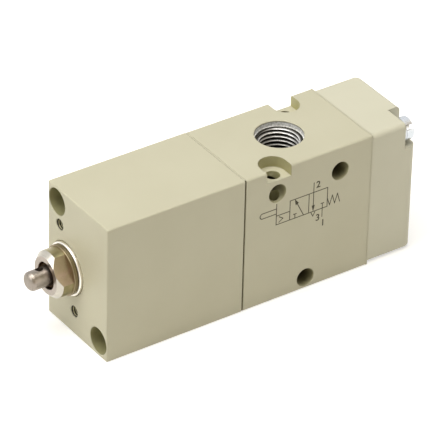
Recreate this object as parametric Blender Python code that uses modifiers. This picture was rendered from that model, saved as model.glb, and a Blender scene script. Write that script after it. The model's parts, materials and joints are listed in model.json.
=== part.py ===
"""Plunger operated 3/2 air valve, servo assisted, spring return.

Three painted blocks are screwed together in line along X. The plunger block holds the push plunger
and a small pilot poppet, the valve body holds a sliding spool in a stack of cages and seals, and the
end cover holds the return spring. Units are metres, +Z is up, the plunger points along -X.
The sizes below are measured from the plunger end face of the block (x = 0), from the middle of the
width (y = 0) and from the base (z = 0). The assembly empty then puts the origin at the middle of the
footprint of the whole valve.
"""
import math

import bmesh
import bpy
from mathutils import Matrix, Vector

MM = 0.001

# Outer blocks
WIDTH = 30.0 * MM
HEIGHT = 44.0 * MM
BLOCK_LENGTH = 45.5 * MM
BODY_LENGTH = 43.0 * MM
COVER_LENGTH = 16.0 * MM
COVER_INSET = 0.4 * MM
BLOCK_EDGE = 0.4 * MM
BODY_EDGE = 0.6 * MM
COVER_EDGE = 1.4 * MM
COVER_BACK_EDGE = 2.3 * MM
GASKET_THICKNESS = 0.3 * MM
GASKET_INSET = 0.4 * MM

# Clearances
FACE_GAP = 0.1 * MM
SEAT_GAP = 0.2 * MM
RUN_GAP = 0.15 * MM
TOUCH_GAP = 0.3 * MM
OVERRUN = 2.0 * MM

# Travels
PLUNGER_TRAVEL = 3.0 * MM
POPPET_TRAVEL = 1.2 * MM
SPOOL_TRAVEL = 4.8 * MM

# Plunger axis
PLUNGER_Y = 5.4 * MM
PLUNGER_Z = 20.0 * MM

# Plunger guide, outside the block
GUIDE_REACH = 7.0 * MM
GUIDE_HEAD_RADIUS = 7.05 * MM
GUIDE_CHAMFER_LENGTH = 1.5 * MM
GUIDE_CHAMFER_DEPTH = 1.35 * MM
GUIDE_FLAT_DEPTH = 1.35 * MM
GUIDE_FLAT_ANGLE = math.radians(145.0)
GUIDE_COLLAR_STEP = 0.45 * MM
GUIDE_COLLAR_LENGTH = 1.2 * MM
WASHER_STEP = 0.5 * MM
WASHER_CHAMFER = 0.4 * MM
WASHER_THICKNESS = 1.2 * MM
GUIDE_SEAT_DEPTH = 0.5 * MM

# Plunger guide, inside the block
GUIDE_THREAD_RADIUS = 6.0 * MM
GUIDE_STEM_AHEAD_OF_SEAT = 6.1 * MM
GUIDE_STEP = 4.0 * MM
PLUNGER_CHAMBER_RADIUS = 4.6 * MM
WIPER_RECESS_RADIUS = 4.1 * MM
WIPER_RECESS_DEPTH = 1.8 * MM
WIPER_THICKNESS = 1.1 * MM

# Plunger
PLUNGER_REACH = 13.1 * MM
PLUNGER_RADIUS = 2.85 * MM
PLUNGER_TIP_RADIUS = 1.3 * MM
PLUNGER_TIP_LENGTH = 1.5 * MM
PLUNGER_COLLAR_LENGTH = 2.6 * MM
PLUNGER_STEM_RADIUS = 1.6 * MM
PLUNGER_SEAL_CORE = 0.5 * MM
VENT_RADIUS = 0.7 * MM
VENT_HOLE_RADIUS = 1.2 * MM
VENT_HOLE_FROM_TIP = 4.2 * MM
VENT_HOLE_TURN = math.radians(-10.0)

# Pilot poppet valve behind the plunger
PILOT_SHOULDER = 0.9 * MM
PILOT_SEAT_LENGTH = 4.9 * MM
PILOT_LIP_HEIGHT = 0.4 * MM
PILOT_LIP_WALL = 0.6 * MM
PILOT_SEAL_CORE = 0.6 * MM
POPPET_RADIUS = 3.6 * MM
POPPET_RIM = 0.5 * MM
POPPET_DISC_THICKNESS = 1.1 * MM
POPPET_LIP = 0.7 * MM
POPPET_WEB = 1.6 * MM
POPPET_STEM_RADIUS = 1.2 * MM
POPPET_STEM_GRIP = 0.6 * MM
PILOT_SPRING_LENGTH = 3.5 * MM
PILOT_PLUG_LENGTH = 4.3 * MM
PILOT_PLUG_SLOT_WIDTH = 1.2 * MM
PILOT_PLUG_SLOT_DEPTH = 0.9 * MM

# Servo piston
PISTON_BORE_RADIUS = 9.0 * MM
PISTON_BORE_DEPTH = 9.0 * MM
PISTON_LENGTH = 3.6 * MM
PISTON_SEAL_CORE = 0.7 * MM
PISTON_NOSE_RADIUS = 3.0 * MM

# Spool, cages and seals
SPOOL_RADIUS = 5.0 * MM
SEAL_STACK_DEPTH = 3.0 * MM
SEAL_COUNT = 4
END_SEAL_INSET = 5.0 * MM
SPOOL_NECK_RADIUS = 3.2 * MM
SPOOL_END_RADIUS = 2.6 * MM
SPOOL_END_LENGTH = 1.9 * MM
SPOOL_CHAMFER = 0.5 * MM
SPOOL_END_MARGIN = 0.9 * MM
CAGE_AIR_GAP = 1.0 * MM
CAGE_RIM = 1.1 * MM
CAGE_WAIST = 0.7 * MM
CAGE_WINDOW_RADIUS = 1.9 * MM
CAGE_WINDOW_PAIRS = 3
BUSH_FLANGE_STEP = 2.0 * MM
BUSH_FLANGE_THICKNESS = 1.3 * MM

# Return spring and its seat
SPRING_SEAT_THICKNESS = 1.5 * MM
SPRING_BORE_STEP = 0.4 * MM
COVER_FLOOR = 3.0 * MM

# Threaded ports
PORT_RADIUS = 6.6 * MM
PORT_MOUTH_STEP = 0.5 * MM
PORT_MOUTH_DEPTH = 1.8 * MM
PORT_DEPTH = 11.5 * MM
PORT_PASSAGE_RADIUS = 3.5 * MM

# Fixing holes of the valve body
CROSS_HOLE_RADIUS = 2.85 * MM
CROSS_HOLE_SPREAD = 10.8 * MM
CROSS_HOLE_FROM_TOP = 7.95 * MM
CROSS_HOLE_FROM_BASE = 3.7 * MM
POCKET_SPREAD = 10.5 * MM
POCKET_FROM_SIDE = 3.15 * MM
POCKET_RADIUS = 4.2 * MM
POCKET_DEPTH = 3.5 * MM
POCKET_HOLE_RADIUS = 2.1 * MM

# Two threaded holes for an actuator head, beside the guide
HEAD_HOLE_RADIUS = 1.75 * MM
HEAD_HOLE_DEPTH = 9.0 * MM
HEAD_HOLE_CIRCLE = 13.0 * MM
HEAD_HOLE_ANGLE = math.radians(73.2)

# Assembly screws, on opposite diagonals at the two ends
SCREW_FROM_SIDE = 4.4 * MM
SCREW_FROM_EDGE = 4.8 * MM
SCREW_RADIUS = 2.0 * MM
SCREW_HEAD_RADIUS = 3.5 * MM
SCREW_TAP_SPARE = 0.4 * MM
COUNTERBORE_STEP = 0.6 * MM
BLOCK_SCREW_GRIP = 21.5 * MM
BLOCK_SCREW_BITE = 7.0 * MM
BLOCK_SCREW_HEAD = 4.0 * MM
HEX_KEY_SIZE = 3.0 * MM
HEX_KEY_SIDES = 6
HEX_KEY_DEPTH = 2.0 * MM
COVER_SCREW_BITE = 6.7 * MM
COVER_SCREW_HEAD = 2.6 * MM
COVER_SCREW_SLOT_WIDTH = 1.5 * MM
COVER_SCREW_SLOT_DEPTH = 1.4 * MM
COVER_SCREW_SLOT_ANGLE = math.radians(145.0)
SCREW_WASHER_STEP = 0.1 * MM
SCREW_WASHER_THICKNESS = 0.8 * MM
NOTCH_DEPTH = 4.2 * MM
NOTCH_SIDE_MARGIN = 1.3 * MM
NOTCH_HEIGHT_MARGIN = 0.3 * MM

# Air galleries
GALLERY_RADIUS = 1.0 * MM
GALLERY_Y = 8.2 * MM
GALLERY_BELOW_SPOOL = 8.8 * MM
PORT_BRANCH_RADIUS = 1.3 * MM
PILOT_GALLERY_RADIUS = 0.8 * MM

# Springs
PLUNGER_WIRE = 0.8 * MM
PLUNGER_SPRING_TURNS = 6
PILOT_WIRE = 0.5 * MM
PILOT_SPRING_TURNS = 4
RETURN_WIRE = 1.0 * MM
RETURN_SPRING_TURNS = 6
POINTS_PER_TURN = 8
WIRE_ROUNDING = 1

# Facets of round shapes
FINE = 28
ROUND = 20
SMALL = 14
TINY = 8
RING_SECTION = 6
TIP_STEPS = 4
EDGE_SEGMENTS = 2
SHARP_ANGLE = math.radians(30)
MERGE_DISTANCE = 0.01 * MM

# Places that follow from the sizes
SPOOL_Z = HEIGHT / 2
JOINT_THICKNESS = GASKET_THICKNESS + 2 * FACE_GAP
BODY_START = BLOCK_LENGTH + JOINT_THICKNESS
BODY_MIDDLE = BODY_START + BODY_LENGTH / 2
BODY_END = BODY_START + BODY_LENGTH
COVER_START = BODY_END + JOINT_THICKNESS
COVER_END = COVER_START + COVER_LENGTH
ORIGIN_X = (COVER_END - PLUNGER_REACH) / 2

GUIDE_COLLAR_RADIUS = GUIDE_HEAD_RADIUS + GUIDE_COLLAR_STEP
WASHER_RADIUS = GUIDE_COLLAR_RADIUS + WASHER_STEP
WASHER_BACK = GUIDE_SEAT_DEPTH - FACE_GAP
WASHER_FRONT = WASHER_BACK - WASHER_THICKNESS
GUIDE_COLLAR_BACK = WASHER_FRONT - FACE_GAP
GUIDE_COLLAR_FRONT = GUIDE_COLLAR_BACK - GUIDE_COLLAR_LENGTH
GUIDE_BORE_RADIUS = PLUNGER_RADIUS + RUN_GAP
WIPER_BACK = WIPER_RECESS_DEPTH - GUIDE_REACH - FACE_GAP

PLUNGER_COLLAR_RADIUS = PLUNGER_CHAMBER_RADIUS - TOUCH_GAP
PLUNGER_COLLAR_FRONT = GUIDE_STEP + SEAT_GAP
PLUNGER_COLLAR_BACK = PLUNGER_COLLAR_FRONT + PLUNGER_COLLAR_LENGTH
PLUNGER_SEAL_X = (GUIDE_STEP - GUIDE_REACH + WIPER_RECESS_DEPTH) / 2

PISTON_BORE_START = BLOCK_LENGTH - PISTON_BORE_DEPTH
PILOT_PLUG_BACK = PISTON_BORE_START - SEAT_GAP
PILOT_PLUG_FRONT = PILOT_PLUG_BACK - PILOT_PLUG_LENGTH
POPPET_STEM_END = PILOT_PLUG_FRONT + POPPET_STEM_GRIP
POPPET_BACK = PILOT_PLUG_FRONT - PILOT_SPRING_LENGTH - 2 * FACE_GAP
POPPET_FLOOR = POPPET_BACK - POPPET_WEB
POPPET_DISC_RADIUS = POPPET_RADIUS - POPPET_RIM - FACE_GAP
POPPET_DISC_BACK = POPPET_FLOOR - FACE_GAP
POPPET_DISC_FRONT = POPPET_DISC_BACK - POPPET_DISC_THICKNESS
PILOT_SEAT_BACK = POPPET_DISC_FRONT - FACE_GAP - PILOT_LIP_HEIGHT
PILOT_SEAT_FRONT = PILOT_SEAT_BACK - PILOT_SEAT_LENGTH
PILOT_SEAT_BORE = PLUNGER_STEM_RADIUS + TOUCH_GAP
PILOT_BORE_START = PILOT_SEAT_FRONT - FACE_GAP
PILOT_BORE_RADIUS = PLUNGER_CHAMBER_RADIUS + PILOT_SHOULDER
PLUNGER_END = POPPET_DISC_FRONT + POPPET_TRAVEL - PLUNGER_TRAVEL - TOUCH_GAP
PLUNGER_SPRING_END = PILOT_SEAT_FRONT - SEAT_GAP
GUIDE_STEM_END = PILOT_SEAT_FRONT - GUIDE_STEM_AHEAD_OF_SEAT

PISTON_FRONT = PISTON_BORE_START + SEAT_GAP
PISTON_BACK = PISTON_FRONT + PISTON_LENGTH
SPOOL_FRONT = BODY_START + SEAT_GAP
PISTON_NOSE_END = SPOOL_FRONT - TOUCH_GAP

PORT_PITCH = (BODY_LENGTH - 2 * END_SEAL_INSET) / (SEAL_COUNT - 1)
SPOOL_BORE_RADIUS = SPOOL_RADIUS + SEAL_STACK_DEPTH
SPOOL_SEAL_INNER = SPOOL_RADIUS + RUN_GAP
SPOOL_SEAL_CORE = (SPOOL_BORE_RADIUS - RUN_GAP - SPOOL_SEAL_INNER) / 2
SPOOL_NECK_START = BODY_MIDDLE - PORT_PITCH / 2 - SPOOL_TRAVEL / 2
SPOOL_NECK_END = SPOOL_NECK_START + PORT_PITCH
SPOOL_BACK = BODY_END - SPOOL_END_MARGIN
CAGE_BORE_RADIUS = SPOOL_RADIUS + CAGE_AIR_GAP
BUSH_FLANGE_RADIUS = SPOOL_BORE_RADIUS + BUSH_FLANGE_STEP
FLANGE_RECESS_DEPTH = BUSH_FLANGE_THICKNESS + 2 * FACE_GAP
SPRING_SEAT_RADIUS = SPOOL_RADIUS - TOUCH_GAP
SPRING_SEAT_FRONT = SPOOL_BACK + FACE_GAP
SPRING_SEAT_BACK = SPRING_SEAT_FRONT + SPRING_SEAT_THICKNESS
SPRING_BORE_RADIUS = SPOOL_RADIUS + SPRING_BORE_STEP
SPRING_BORE_END = COVER_END - COVER_FLOOR

PORT_MOUTH_RADIUS = PORT_RADIUS + PORT_MOUTH_STEP
GALLERY_Z = SPOOL_Z - GALLERY_BELOW_SPOOL

SCREW_Y = WIDTH / 2 - SCREW_FROM_SIDE
SCREW_RISE = HEIGHT / 2 - SCREW_FROM_EDGE
SCREW_HOLE_RADIUS = SCREW_RADIUS + SEAT_GAP
SCREW_WASHER_RADIUS = SCREW_HEAD_RADIUS + SCREW_WASHER_STEP
COUNTERBORE_RADIUS = SCREW_HEAD_RADIUS + COUNTERBORE_STEP
COUNTERBORE_DEPTH = BLOCK_LENGTH - BLOCK_SCREW_GRIP
BLOCK_WASHER_FRONT = COUNTERBORE_DEPTH - FACE_GAP - SCREW_WASHER_THICKNESS
BLOCK_HEAD_BACK = BLOCK_WASHER_FRONT - FACE_GAP
BLOCK_SCREW_END = BODY_START + BLOCK_SCREW_BITE
NOTCH_FLOOR = COVER_END - NOTCH_DEPTH
NOTCH_INNER_Y = SCREW_Y - SCREW_WASHER_RADIUS - NOTCH_SIDE_MARGIN
NOTCH_INNER_RISE = SCREW_RISE - SCREW_WASHER_RADIUS - NOTCH_HEIGHT_MARGIN
COVER_HEAD_FRONT = NOTCH_FLOOR + SCREW_WASHER_THICKNESS + 2 * FACE_GAP
COVER_SCREW_END = BODY_END - COVER_SCREW_BITE
BLOCK_SCREW_SPOTS = [(SCREW_Y, SPOOL_Z + SCREW_RISE), (-SCREW_Y, SPOOL_Z - SCREW_RISE)]
COVER_SCREW_SPOTS = [(-SCREW_Y, SPOOL_Z + SCREW_RISE), (SCREW_Y, SPOOL_Z - SCREW_RISE)]


def clear_scene():
    for scene_object in list(bpy.data.objects):
        bpy.data.objects.remove(scene_object, do_unlink=True)


def new_collection(name):
    collection = bpy.data.collections.new(name)
    bpy.context.scene.collection.children.link(collection)
    return collection


clear_scene()
PARTS = new_collection("plunger_air_valve")
CUTTERS = new_collection("cutters")


# Materials

def finish(name, colour, roughness, metallic):
    material = bpy.data.materials.new(name)
    material.use_nodes = True
    shader = material.node_tree.nodes["Principled BSDF"]
    shader.inputs["Base Color"].default_value = (*colour, 1.0)
    shader.inputs["Roughness"].default_value = roughness
    shader.inputs["Metallic"].default_value = metallic
    material.diffuse_color = (*colour, 1.0)
    return material


PAINT = finish("beige_paint", (0.58, 0.54, 0.39), 0.5, 0.0)
ZINC_YELLOW = finish("yellow_zinc_steel", (0.50, 0.42, 0.30), 0.35, 1.0)
ZINC_SILVER = finish("silver_zinc_steel", (0.66, 0.68, 0.70), 0.35, 1.0)
STEEL = finish("ground_steel", (0.60, 0.57, 0.52), 0.25, 1.0)
SPRING_STEEL = finish("spring_steel", (0.45, 0.45, 0.46), 0.3, 1.0)
NICKEL = finish("nickel_plated_aluminium", (0.70, 0.69, 0.66), 0.3, 1.0)
BRASS = finish("turned_brass", (0.72, 0.55, 0.25), 0.3, 1.0)
RUBBER = finish("black_rubber", (0.03, 0.03, 0.03), 0.6, 0.0)
FIBRE = finish("gasket_fibre", (0.12, 0.11, 0.10), 0.8, 0.0)
PLASTIC = finish("white_acetal", (0.80, 0.79, 0.74), 0.4, 0.0)


# Placing

def new_empty(name, location, parent=None):
    empty = bpy.data.objects.new(name, None)
    empty.location = location
    empty.parent = parent
    PARTS.objects.link(empty)
    return empty


ASSEMBLY = new_empty("assembly", (-ORIGIN_X, 0.0, 0.0))
PLUNGER_AXIS = new_empty("plunger_axis", (0.0, PLUNGER_Y, PLUNGER_Z), ASSEMBLY)
SPOOL_AXIS = new_empty("spool_axis", (0.0, 0.0, SPOOL_Z), ASSEMBLY)


def add_object(name, data, material, parent):
    item = bpy.data.objects.new(name, data)
    item.parent = parent
    collection = PARTS if material else CUTTERS
    collection.objects.link(item)
    if material:
        data.materials.append(material)
    else:
        item.hide_render = True
        item.display_type = "WIRE"
    return item


def mesh_from(bm, name, smooth_sides=False):
    mesh = bpy.data.meshes.new(name)
    bm.to_mesh(mesh)
    bm.free()
    if smooth_sides:
        mesh.shade_smooth()
        mesh.set_sharp_from_angle(angle=SHARP_ANGLE)
    return mesh


# Shapes

def block(name, low, high, material=None, parent=ASSEMBLY, edge=0.0):
    """A box between two corners, with its edges rounded if edge is given."""
    low, high = Vector(low), Vector(high)
    size = high - low
    bm = bmesh.new()
    bmesh.ops.create_cube(bm, size=1.0, matrix=Matrix.Diagonal((*size, 1.0)))
    item = add_object(name, mesh_from(bm, name), material, parent)
    item.location = (low + high) / 2
    if edge:
        bevel = item.modifiers.new("rounded_edges", "BEVEL")
        bevel.width = edge
        bevel.segments = EDGE_SEGMENTS
        bevel.limit_method = "ANGLE"
    return item


AXIS_TURN = {
    "X": Matrix.Rotation(math.radians(90), 4, "Y"),
    "Y": Matrix.Rotation(math.radians(-90), 4, "X"),
    "Z": Matrix.Identity(4),
}


def drill(name, radius, start, end, axis, spot, parent=ASSEMBLY, segments=SMALL):
    """A cutting cylinder from start to end along an axis; spot gives the other two coordinates."""
    bm = bmesh.new()
    bmesh.ops.create_cone(
        bm, cap_ends=True, segments=segments, radius1=radius, radius2=radius, depth=abs(end - start)
    )
    bmesh.ops.transform(bm, matrix=AXIS_TURN[axis], verts=bm.verts)
    item = add_object(name, mesh_from(bm, name, smooth_sides=True), None, parent)
    place = list(spot)
    place.insert("XYZ".index(axis), (start + end) / 2)
    item.location = place
    return item


def turned(name, outline, material=None, parent=ASSEMBLY, spot=(0.0, 0.0), ring=False, segments=ROUND):
    """A turned shape on an axis along X.

    outline lists (x, radius) from the +X end down the outer side to the -X end, and for a ring it
    comes back along the inner side. The object's origin is on the axis, at the outline's middle.
    """
    middle = (max(p[0] for p in outline) + min(p[0] for p in outline)) / 2
    bm = bmesh.new()
    points = [bm.verts.new((radius, 0.0, x - middle)) for x, radius in outline]
    for first, second in zip(points, points[1:]):
        bm.edges.new((first, second))
    if ring:
        bm.edges.new((points[-1], points[0]))
    item = add_object(name, mesh_from(bm, name), material, parent)
    item.rotation_euler = (0.0, math.radians(90), 0.0)
    item.location = (middle, *spot)
    screw = item.modifiers.new("turn", "SCREW")
    screw.axis = "Z"
    screw.steps = segments
    screw.render_steps = segments
    screw.use_merge_vertices = True
    screw.merge_threshold = MERGE_DISTANCE
    make_mesh(item)
    return item


def make_mesh(item):
    """Swaps the object's data for its evaluated mesh, shaded smooth between its sharp edges."""
    evaluated = item.evaluated_get(bpy.context.evaluated_depsgraph_get())
    mesh = bpy.data.meshes.new_from_object(evaluated)
    item.modifiers.clear()
    item.data = mesh
    mesh.shade_smooth()
    mesh.set_sharp_from_angle(angle=SHARP_ANGLE)


def cut(item, *cutters):
    for cutter in cutters:
        boolean = item.modifiers.new("cut_" + cutter.name, "BOOLEAN")
        boolean.operation = "DIFFERENCE"
        boolean.solver = "EXACT"
        boolean.object = cutter


def o_ring(name, x, inner_radius, core, parent, spot=(0.0, 0.0)):
    """A seal ring of round section; core is the radius of the section."""
    outline = []
    for step in range(RING_SECTION):
        angle = math.pi / 2 - math.tau * step / RING_SECTION
        outline.append((x + core * math.sin(angle), inner_radius + core + core * math.cos(angle)))
    return turned(name, outline, RUBBER, parent, spot, ring=True, segments=ROUND)


def coil_spring(name, start, end, mean_radius, wire, turns, parent):
    """A compression spring along X with one closed turn at each end."""
    closed_pitch = wire + FACE_GAP
    open_pitch = (end - start - wire - 2 * closed_pitch) / (turns - 2)
    curve = bpy.data.curves.new(name, "CURVE")
    curve.dimensions = "3D"
    curve.bevel_depth = wire / 2
    curve.bevel_resolution = WIRE_ROUNDING
    curve.use_fill_caps = True
    spline = curve.splines.new("POLY")
    spline.points.add(turns * POINTS_PER_TURN)
    for index, point in enumerate(spline.points):
        turn = index / POINTS_PER_TURN
        closed = min(turn, 1.0) + max(turn - (turns - 1), 0.0)
        opened = min(max(turn - 1.0, 0.0), turns - 2)
        x = start + wire / 2 + closed * closed_pitch + opened * open_pitch
        angle = math.tau * turn
        point.co = (x, mean_radius * math.cos(angle), mean_radius * math.sin(angle), 1.0)
    return add_object(name, curve, SPRING_STEEL, parent)


# Plunger block

def build_plunger_block():
    item = block(
        "plunger_block", (0.0, -WIDTH / 2, 0.0), (BLOCK_LENGTH, WIDTH / 2, HEIGHT), PAINT, edge=BLOCK_EDGE
    )
    plunger_spot = (PLUNGER_Y, PLUNGER_Z)
    cutters = [
        drill("cut_guide_seat", WASHER_RADIUS + SEAT_GAP, -OVERRUN, GUIDE_SEAT_DEPTH, "X", plunger_spot,
              segments=FINE),
        drill("cut_guide_bore", GUIDE_THREAD_RADIUS + SEAT_GAP, -OVERRUN, GUIDE_STEM_END + SEAT_GAP, "X",
              plunger_spot, segments=ROUND),
        drill("cut_plunger_chamber", PLUNGER_CHAMBER_RADIUS, 0.0, PILOT_BORE_START + OVERRUN, "X",
              plunger_spot, segments=ROUND),
        drill("cut_pilot_bore", PILOT_BORE_RADIUS, PILOT_BORE_START, PISTON_BORE_START + OVERRUN, "X",
              plunger_spot, segments=ROUND),
        drill("cut_piston_bore", PISTON_BORE_RADIUS, PISTON_BORE_START, BLOCK_LENGTH + OVERRUN, "X",
              (0.0, SPOOL_Z), segments=FINE),
    ]
    for number, spot in enumerate(BLOCK_SCREW_SPOTS, 1):
        cutters.append(drill(f"cut_counterbore_{number}", COUNTERBORE_RADIUS, -OVERRUN, COUNTERBORE_DEPTH,
                             "X", spot, segments=ROUND))
        cutters.append(drill(f"cut_screw_way_{number}", SCREW_HOLE_RADIUS, 0.0, BLOCK_LENGTH + OVERRUN,
                             "X", spot))
    for number, turn in enumerate((0.0, math.pi), 1):
        angle = HEAD_HOLE_ANGLE + turn
        hole_y = PLUNGER_Y + HEAD_HOLE_CIRCLE * math.cos(angle)
        hole_z = PLUNGER_Z + HEAD_HOLE_CIRCLE * math.sin(angle)
        cutters.append(drill(f"cut_head_hole_{number}", HEAD_HOLE_RADIUS, -OVERRUN, HEAD_HOLE_DEPTH, "X",
                             (hole_y, hole_z)))
    cutters += block_galleries()
    cut(item, *cutters)
    return item


def block_galleries():
    """Supply air reaches the poppet chamber; pilot air leaves the plunger chamber for the piston."""
    chamber_x = (POPPET_BACK + PILOT_PLUG_FRONT) / 2
    pilot_y = PLUNGER_Y - PILOT_BORE_RADIUS - 2 * PILOT_GALLERY_RADIUS
    pilot_x = PILOT_BORE_START - 2 * PILOT_GALLERY_RADIUS
    return [
        drill("cut_supply_gallery", GALLERY_RADIUS, chamber_x, BLOCK_LENGTH + OVERRUN, "X",
              (GALLERY_Y, GALLERY_Z)),
        drill("cut_supply_branch", PILOT_GALLERY_RADIUS, GALLERY_Z, PLUNGER_Z, "Z",
              (chamber_x + PILOT_GALLERY_RADIUS, GALLERY_Y)),
        drill("cut_pilot_gallery", PILOT_GALLERY_RADIUS, pilot_x, PISTON_BORE_START + OVERRUN, "X",
              (pilot_y, PLUNGER_Z)),
        drill("cut_pilot_branch", PILOT_GALLERY_RADIUS, pilot_y, PLUNGER_Y, "Y", (pilot_x, PLUNGER_Z)),
    ]


# Valve body

def build_valve_body():
    item = block(
        "valve_body", (BODY_START, -WIDTH / 2, 0.0), (BODY_END, WIDTH / 2, HEIGHT), PAINT, edge=BODY_EDGE
    )
    spool_spot = (0.0, SPOOL_Z)
    flange_recess = BUSH_FLANGE_RADIUS + SEAT_GAP
    cutters = [
        drill("cut_spool_bore", SPOOL_BORE_RADIUS, BODY_START - OVERRUN, BODY_END + OVERRUN, "X", spool_spot,
              segments=FINE),
        drill("cut_front_recess", flange_recess, BODY_START - OVERRUN, BODY_START + FLANGE_RECESS_DEPTH, "X",
              spool_spot, segments=FINE),
        drill("cut_back_recess", flange_recess, BODY_END - FLANGE_RECESS_DEPTH, BODY_END + OVERRUN, "X",
              spool_spot, segments=FINE),
    ]
    cutters += port_cutters("outlet", BODY_MIDDLE, HEIGHT, -1.0)
    cutters += port_cutters("exhaust", BODY_MIDDLE - PORT_PITCH, 0.0, 1.0)
    cutters += port_cutters("supply", BODY_MIDDLE + PORT_PITCH, 0.0, 1.0)
    cutters += fixing_cutters()
    for number, spot in enumerate(BLOCK_SCREW_SPOTS, 1):
        cutters.append(drill(f"cut_front_tap_{number}", SCREW_HOLE_RADIUS, BODY_START - OVERRUN,
                             BLOCK_SCREW_END + SCREW_TAP_SPARE, "X", spot))
    for number, spot in enumerate(COVER_SCREW_SPOTS, 1):
        cutters.append(drill(f"cut_back_tap_{number}", SCREW_HOLE_RADIUS, COVER_SCREW_END - SCREW_TAP_SPARE,
                             BODY_END + OVERRUN, "X", spot))
    supply_x = BODY_MIDDLE + PORT_PITCH
    branch_y = (PORT_RADIUS + GALLERY_Y - GALLERY_RADIUS) / 2
    cutters.append(drill("cut_body_gallery", GALLERY_RADIUS, BODY_START - OVERRUN, supply_x + GALLERY_RADIUS,
                         "X", (GALLERY_Y, GALLERY_Z)))
    cutters.append(drill("cut_port_branch", PORT_BRANCH_RADIUS, PORT_DEPTH - OVERRUN, GALLERY_Z, "Z",
                         (supply_x, branch_y)))
    cut(item, *cutters)
    return item


def port_cutters(name, x, face_z, inward):
    """A threaded port from a face at face_z, going inward (+1 up, -1 down) to the spool bore."""
    spot = (x, 0.0)
    outside = face_z - inward * OVERRUN
    return [
        drill(f"cut_{name}_mouth", PORT_MOUTH_RADIUS, outside, face_z + inward * PORT_MOUTH_DEPTH, "Z", spot,
              segments=FINE),
        drill(f"cut_{name}_port", PORT_RADIUS, outside, face_z + inward * PORT_DEPTH, "Z", spot,
              segments=FINE),
        drill(f"cut_{name}_passage", PORT_PASSAGE_RADIUS, outside, SPOOL_Z, "Z", spot),
    ]


def fixing_cutters():
    """Three holes across the body, and two upright holes with pockets open to the sides."""
    side = WIDTH / 2 + OVERRUN
    crossings = [
        (BODY_MIDDLE - CROSS_HOLE_SPREAD, HEIGHT - CROSS_HOLE_FROM_TOP),
        (BODY_MIDDLE + CROSS_HOLE_SPREAD, HEIGHT - CROSS_HOLE_FROM_TOP),
        (BODY_MIDDLE, CROSS_HOLE_FROM_BASE),
    ]
    cutters = []
    for number, spot in enumerate(crossings, 1):
        cutters.append(drill(f"cut_cross_hole_{number}", CROSS_HOLE_RADIUS, -side, side, "Y", spot))
    for number, hand in enumerate((-1.0, 1.0), 1):
        spot = (BODY_MIDDLE + hand * POCKET_SPREAD, hand * (WIDTH / 2 - POCKET_FROM_SIDE))
        cutters.append(drill(f"cut_upright_hole_{number}", POCKET_HOLE_RADIUS, -OVERRUN, HEIGHT + OVERRUN,
                             "Z", spot))
        cutters.append(pocket_cutter(f"cut_pocket_{number}", spot, hand * side))
    return cutters


def pocket_cutter(name, spot, side):
    """A pocket seen from above: half round towards the middle, and straight from there to the side."""
    outward = math.copysign(1.0, side)
    corners = [(POCKET_RADIUS, side - spot[1]), (-POCKET_RADIUS, side - spot[1])]
    for step in range(ROUND // 2 + 1):
        angle = math.tau * step / ROUND
        corners.append((-POCKET_RADIUS * math.cos(angle), -outward * POCKET_RADIUS * math.sin(angle)))
    bm = bmesh.new()
    floor = bm.faces.new([bm.verts.new((x, y, 0.0)) for x, y in corners])
    raised = bmesh.ops.extrude_face_region(bm, geom=[floor])["geom"]
    upper = [vertex for vertex in raised if isinstance(vertex, bmesh.types.BMVert)]
    bmesh.ops.translate(bm, vec=(0.0, 0.0, POCKET_DEPTH + OVERRUN), verts=upper)
    bmesh.ops.recalc_face_normals(bm, faces=bm.faces)
    item = add_object(name, mesh_from(bm, name, smooth_sides=True), None, ASSEMBLY)
    item.location = (*spot, HEIGHT - POCKET_DEPTH)
    return item


# End cover

def round_back_edges(item):
    """Gives the upright edges at the back the full bevel width, and the other edges their share of it."""
    mesh = item.data
    weights = mesh.attributes.new("bevel_weight_edge", "FLOAT", "EDGE")
    for edge in mesh.edges:
        first, second = (mesh.vertices[index].co for index in edge.vertices)
        upright_at_back = first.x > 0.0 and second.x > 0.0 and first.y == second.y
        weights.data[edge.index].value = 1.0 if upright_at_back else COVER_EDGE / COVER_BACK_EDGE
    bevel = item.modifiers["rounded_edges"]
    bevel.limit_method = "WEIGHT"
    bevel.width = COVER_BACK_EDGE


def build_end_cover():
    half = WIDTH / 2 - COVER_INSET
    low_z, high_z = COVER_INSET, HEIGHT - COVER_INSET
    item = block("end_cover", (COVER_START, -half, low_z), (COVER_END, half, high_z), PAINT, edge=COVER_EDGE)
    round_back_edges(item)
    cutters = [
        drill("cut_spring_bore", SPRING_BORE_RADIUS, COVER_START - OVERRUN, SPRING_BORE_END, "X",
              (0.0, SPOOL_Z), segments=ROUND),
    ]
    for number, spot in enumerate(COVER_SCREW_SPOTS, 1):
        cutters.append(drill(f"cut_cover_way_{number}", SCREW_HOLE_RADIUS, COVER_START - OVERRUN,
                             COVER_END + OVERRUN, "X", spot))
    cutters.append(block("cut_notch_1", (NOTCH_FLOOR, -half - OVERRUN, SPOOL_Z + NOTCH_INNER_RISE),
                         (COVER_END + OVERRUN, -NOTCH_INNER_Y, high_z + OVERRUN)))
    cutters.append(block("cut_notch_2", (NOTCH_FLOOR, NOTCH_INNER_Y, low_z - OVERRUN),
                         (COVER_END + OVERRUN, half + OVERRUN, SPOOL_Z - NOTCH_INNER_RISE)))
    cut(item, *cutters)
    return item


# Gaskets

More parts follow.
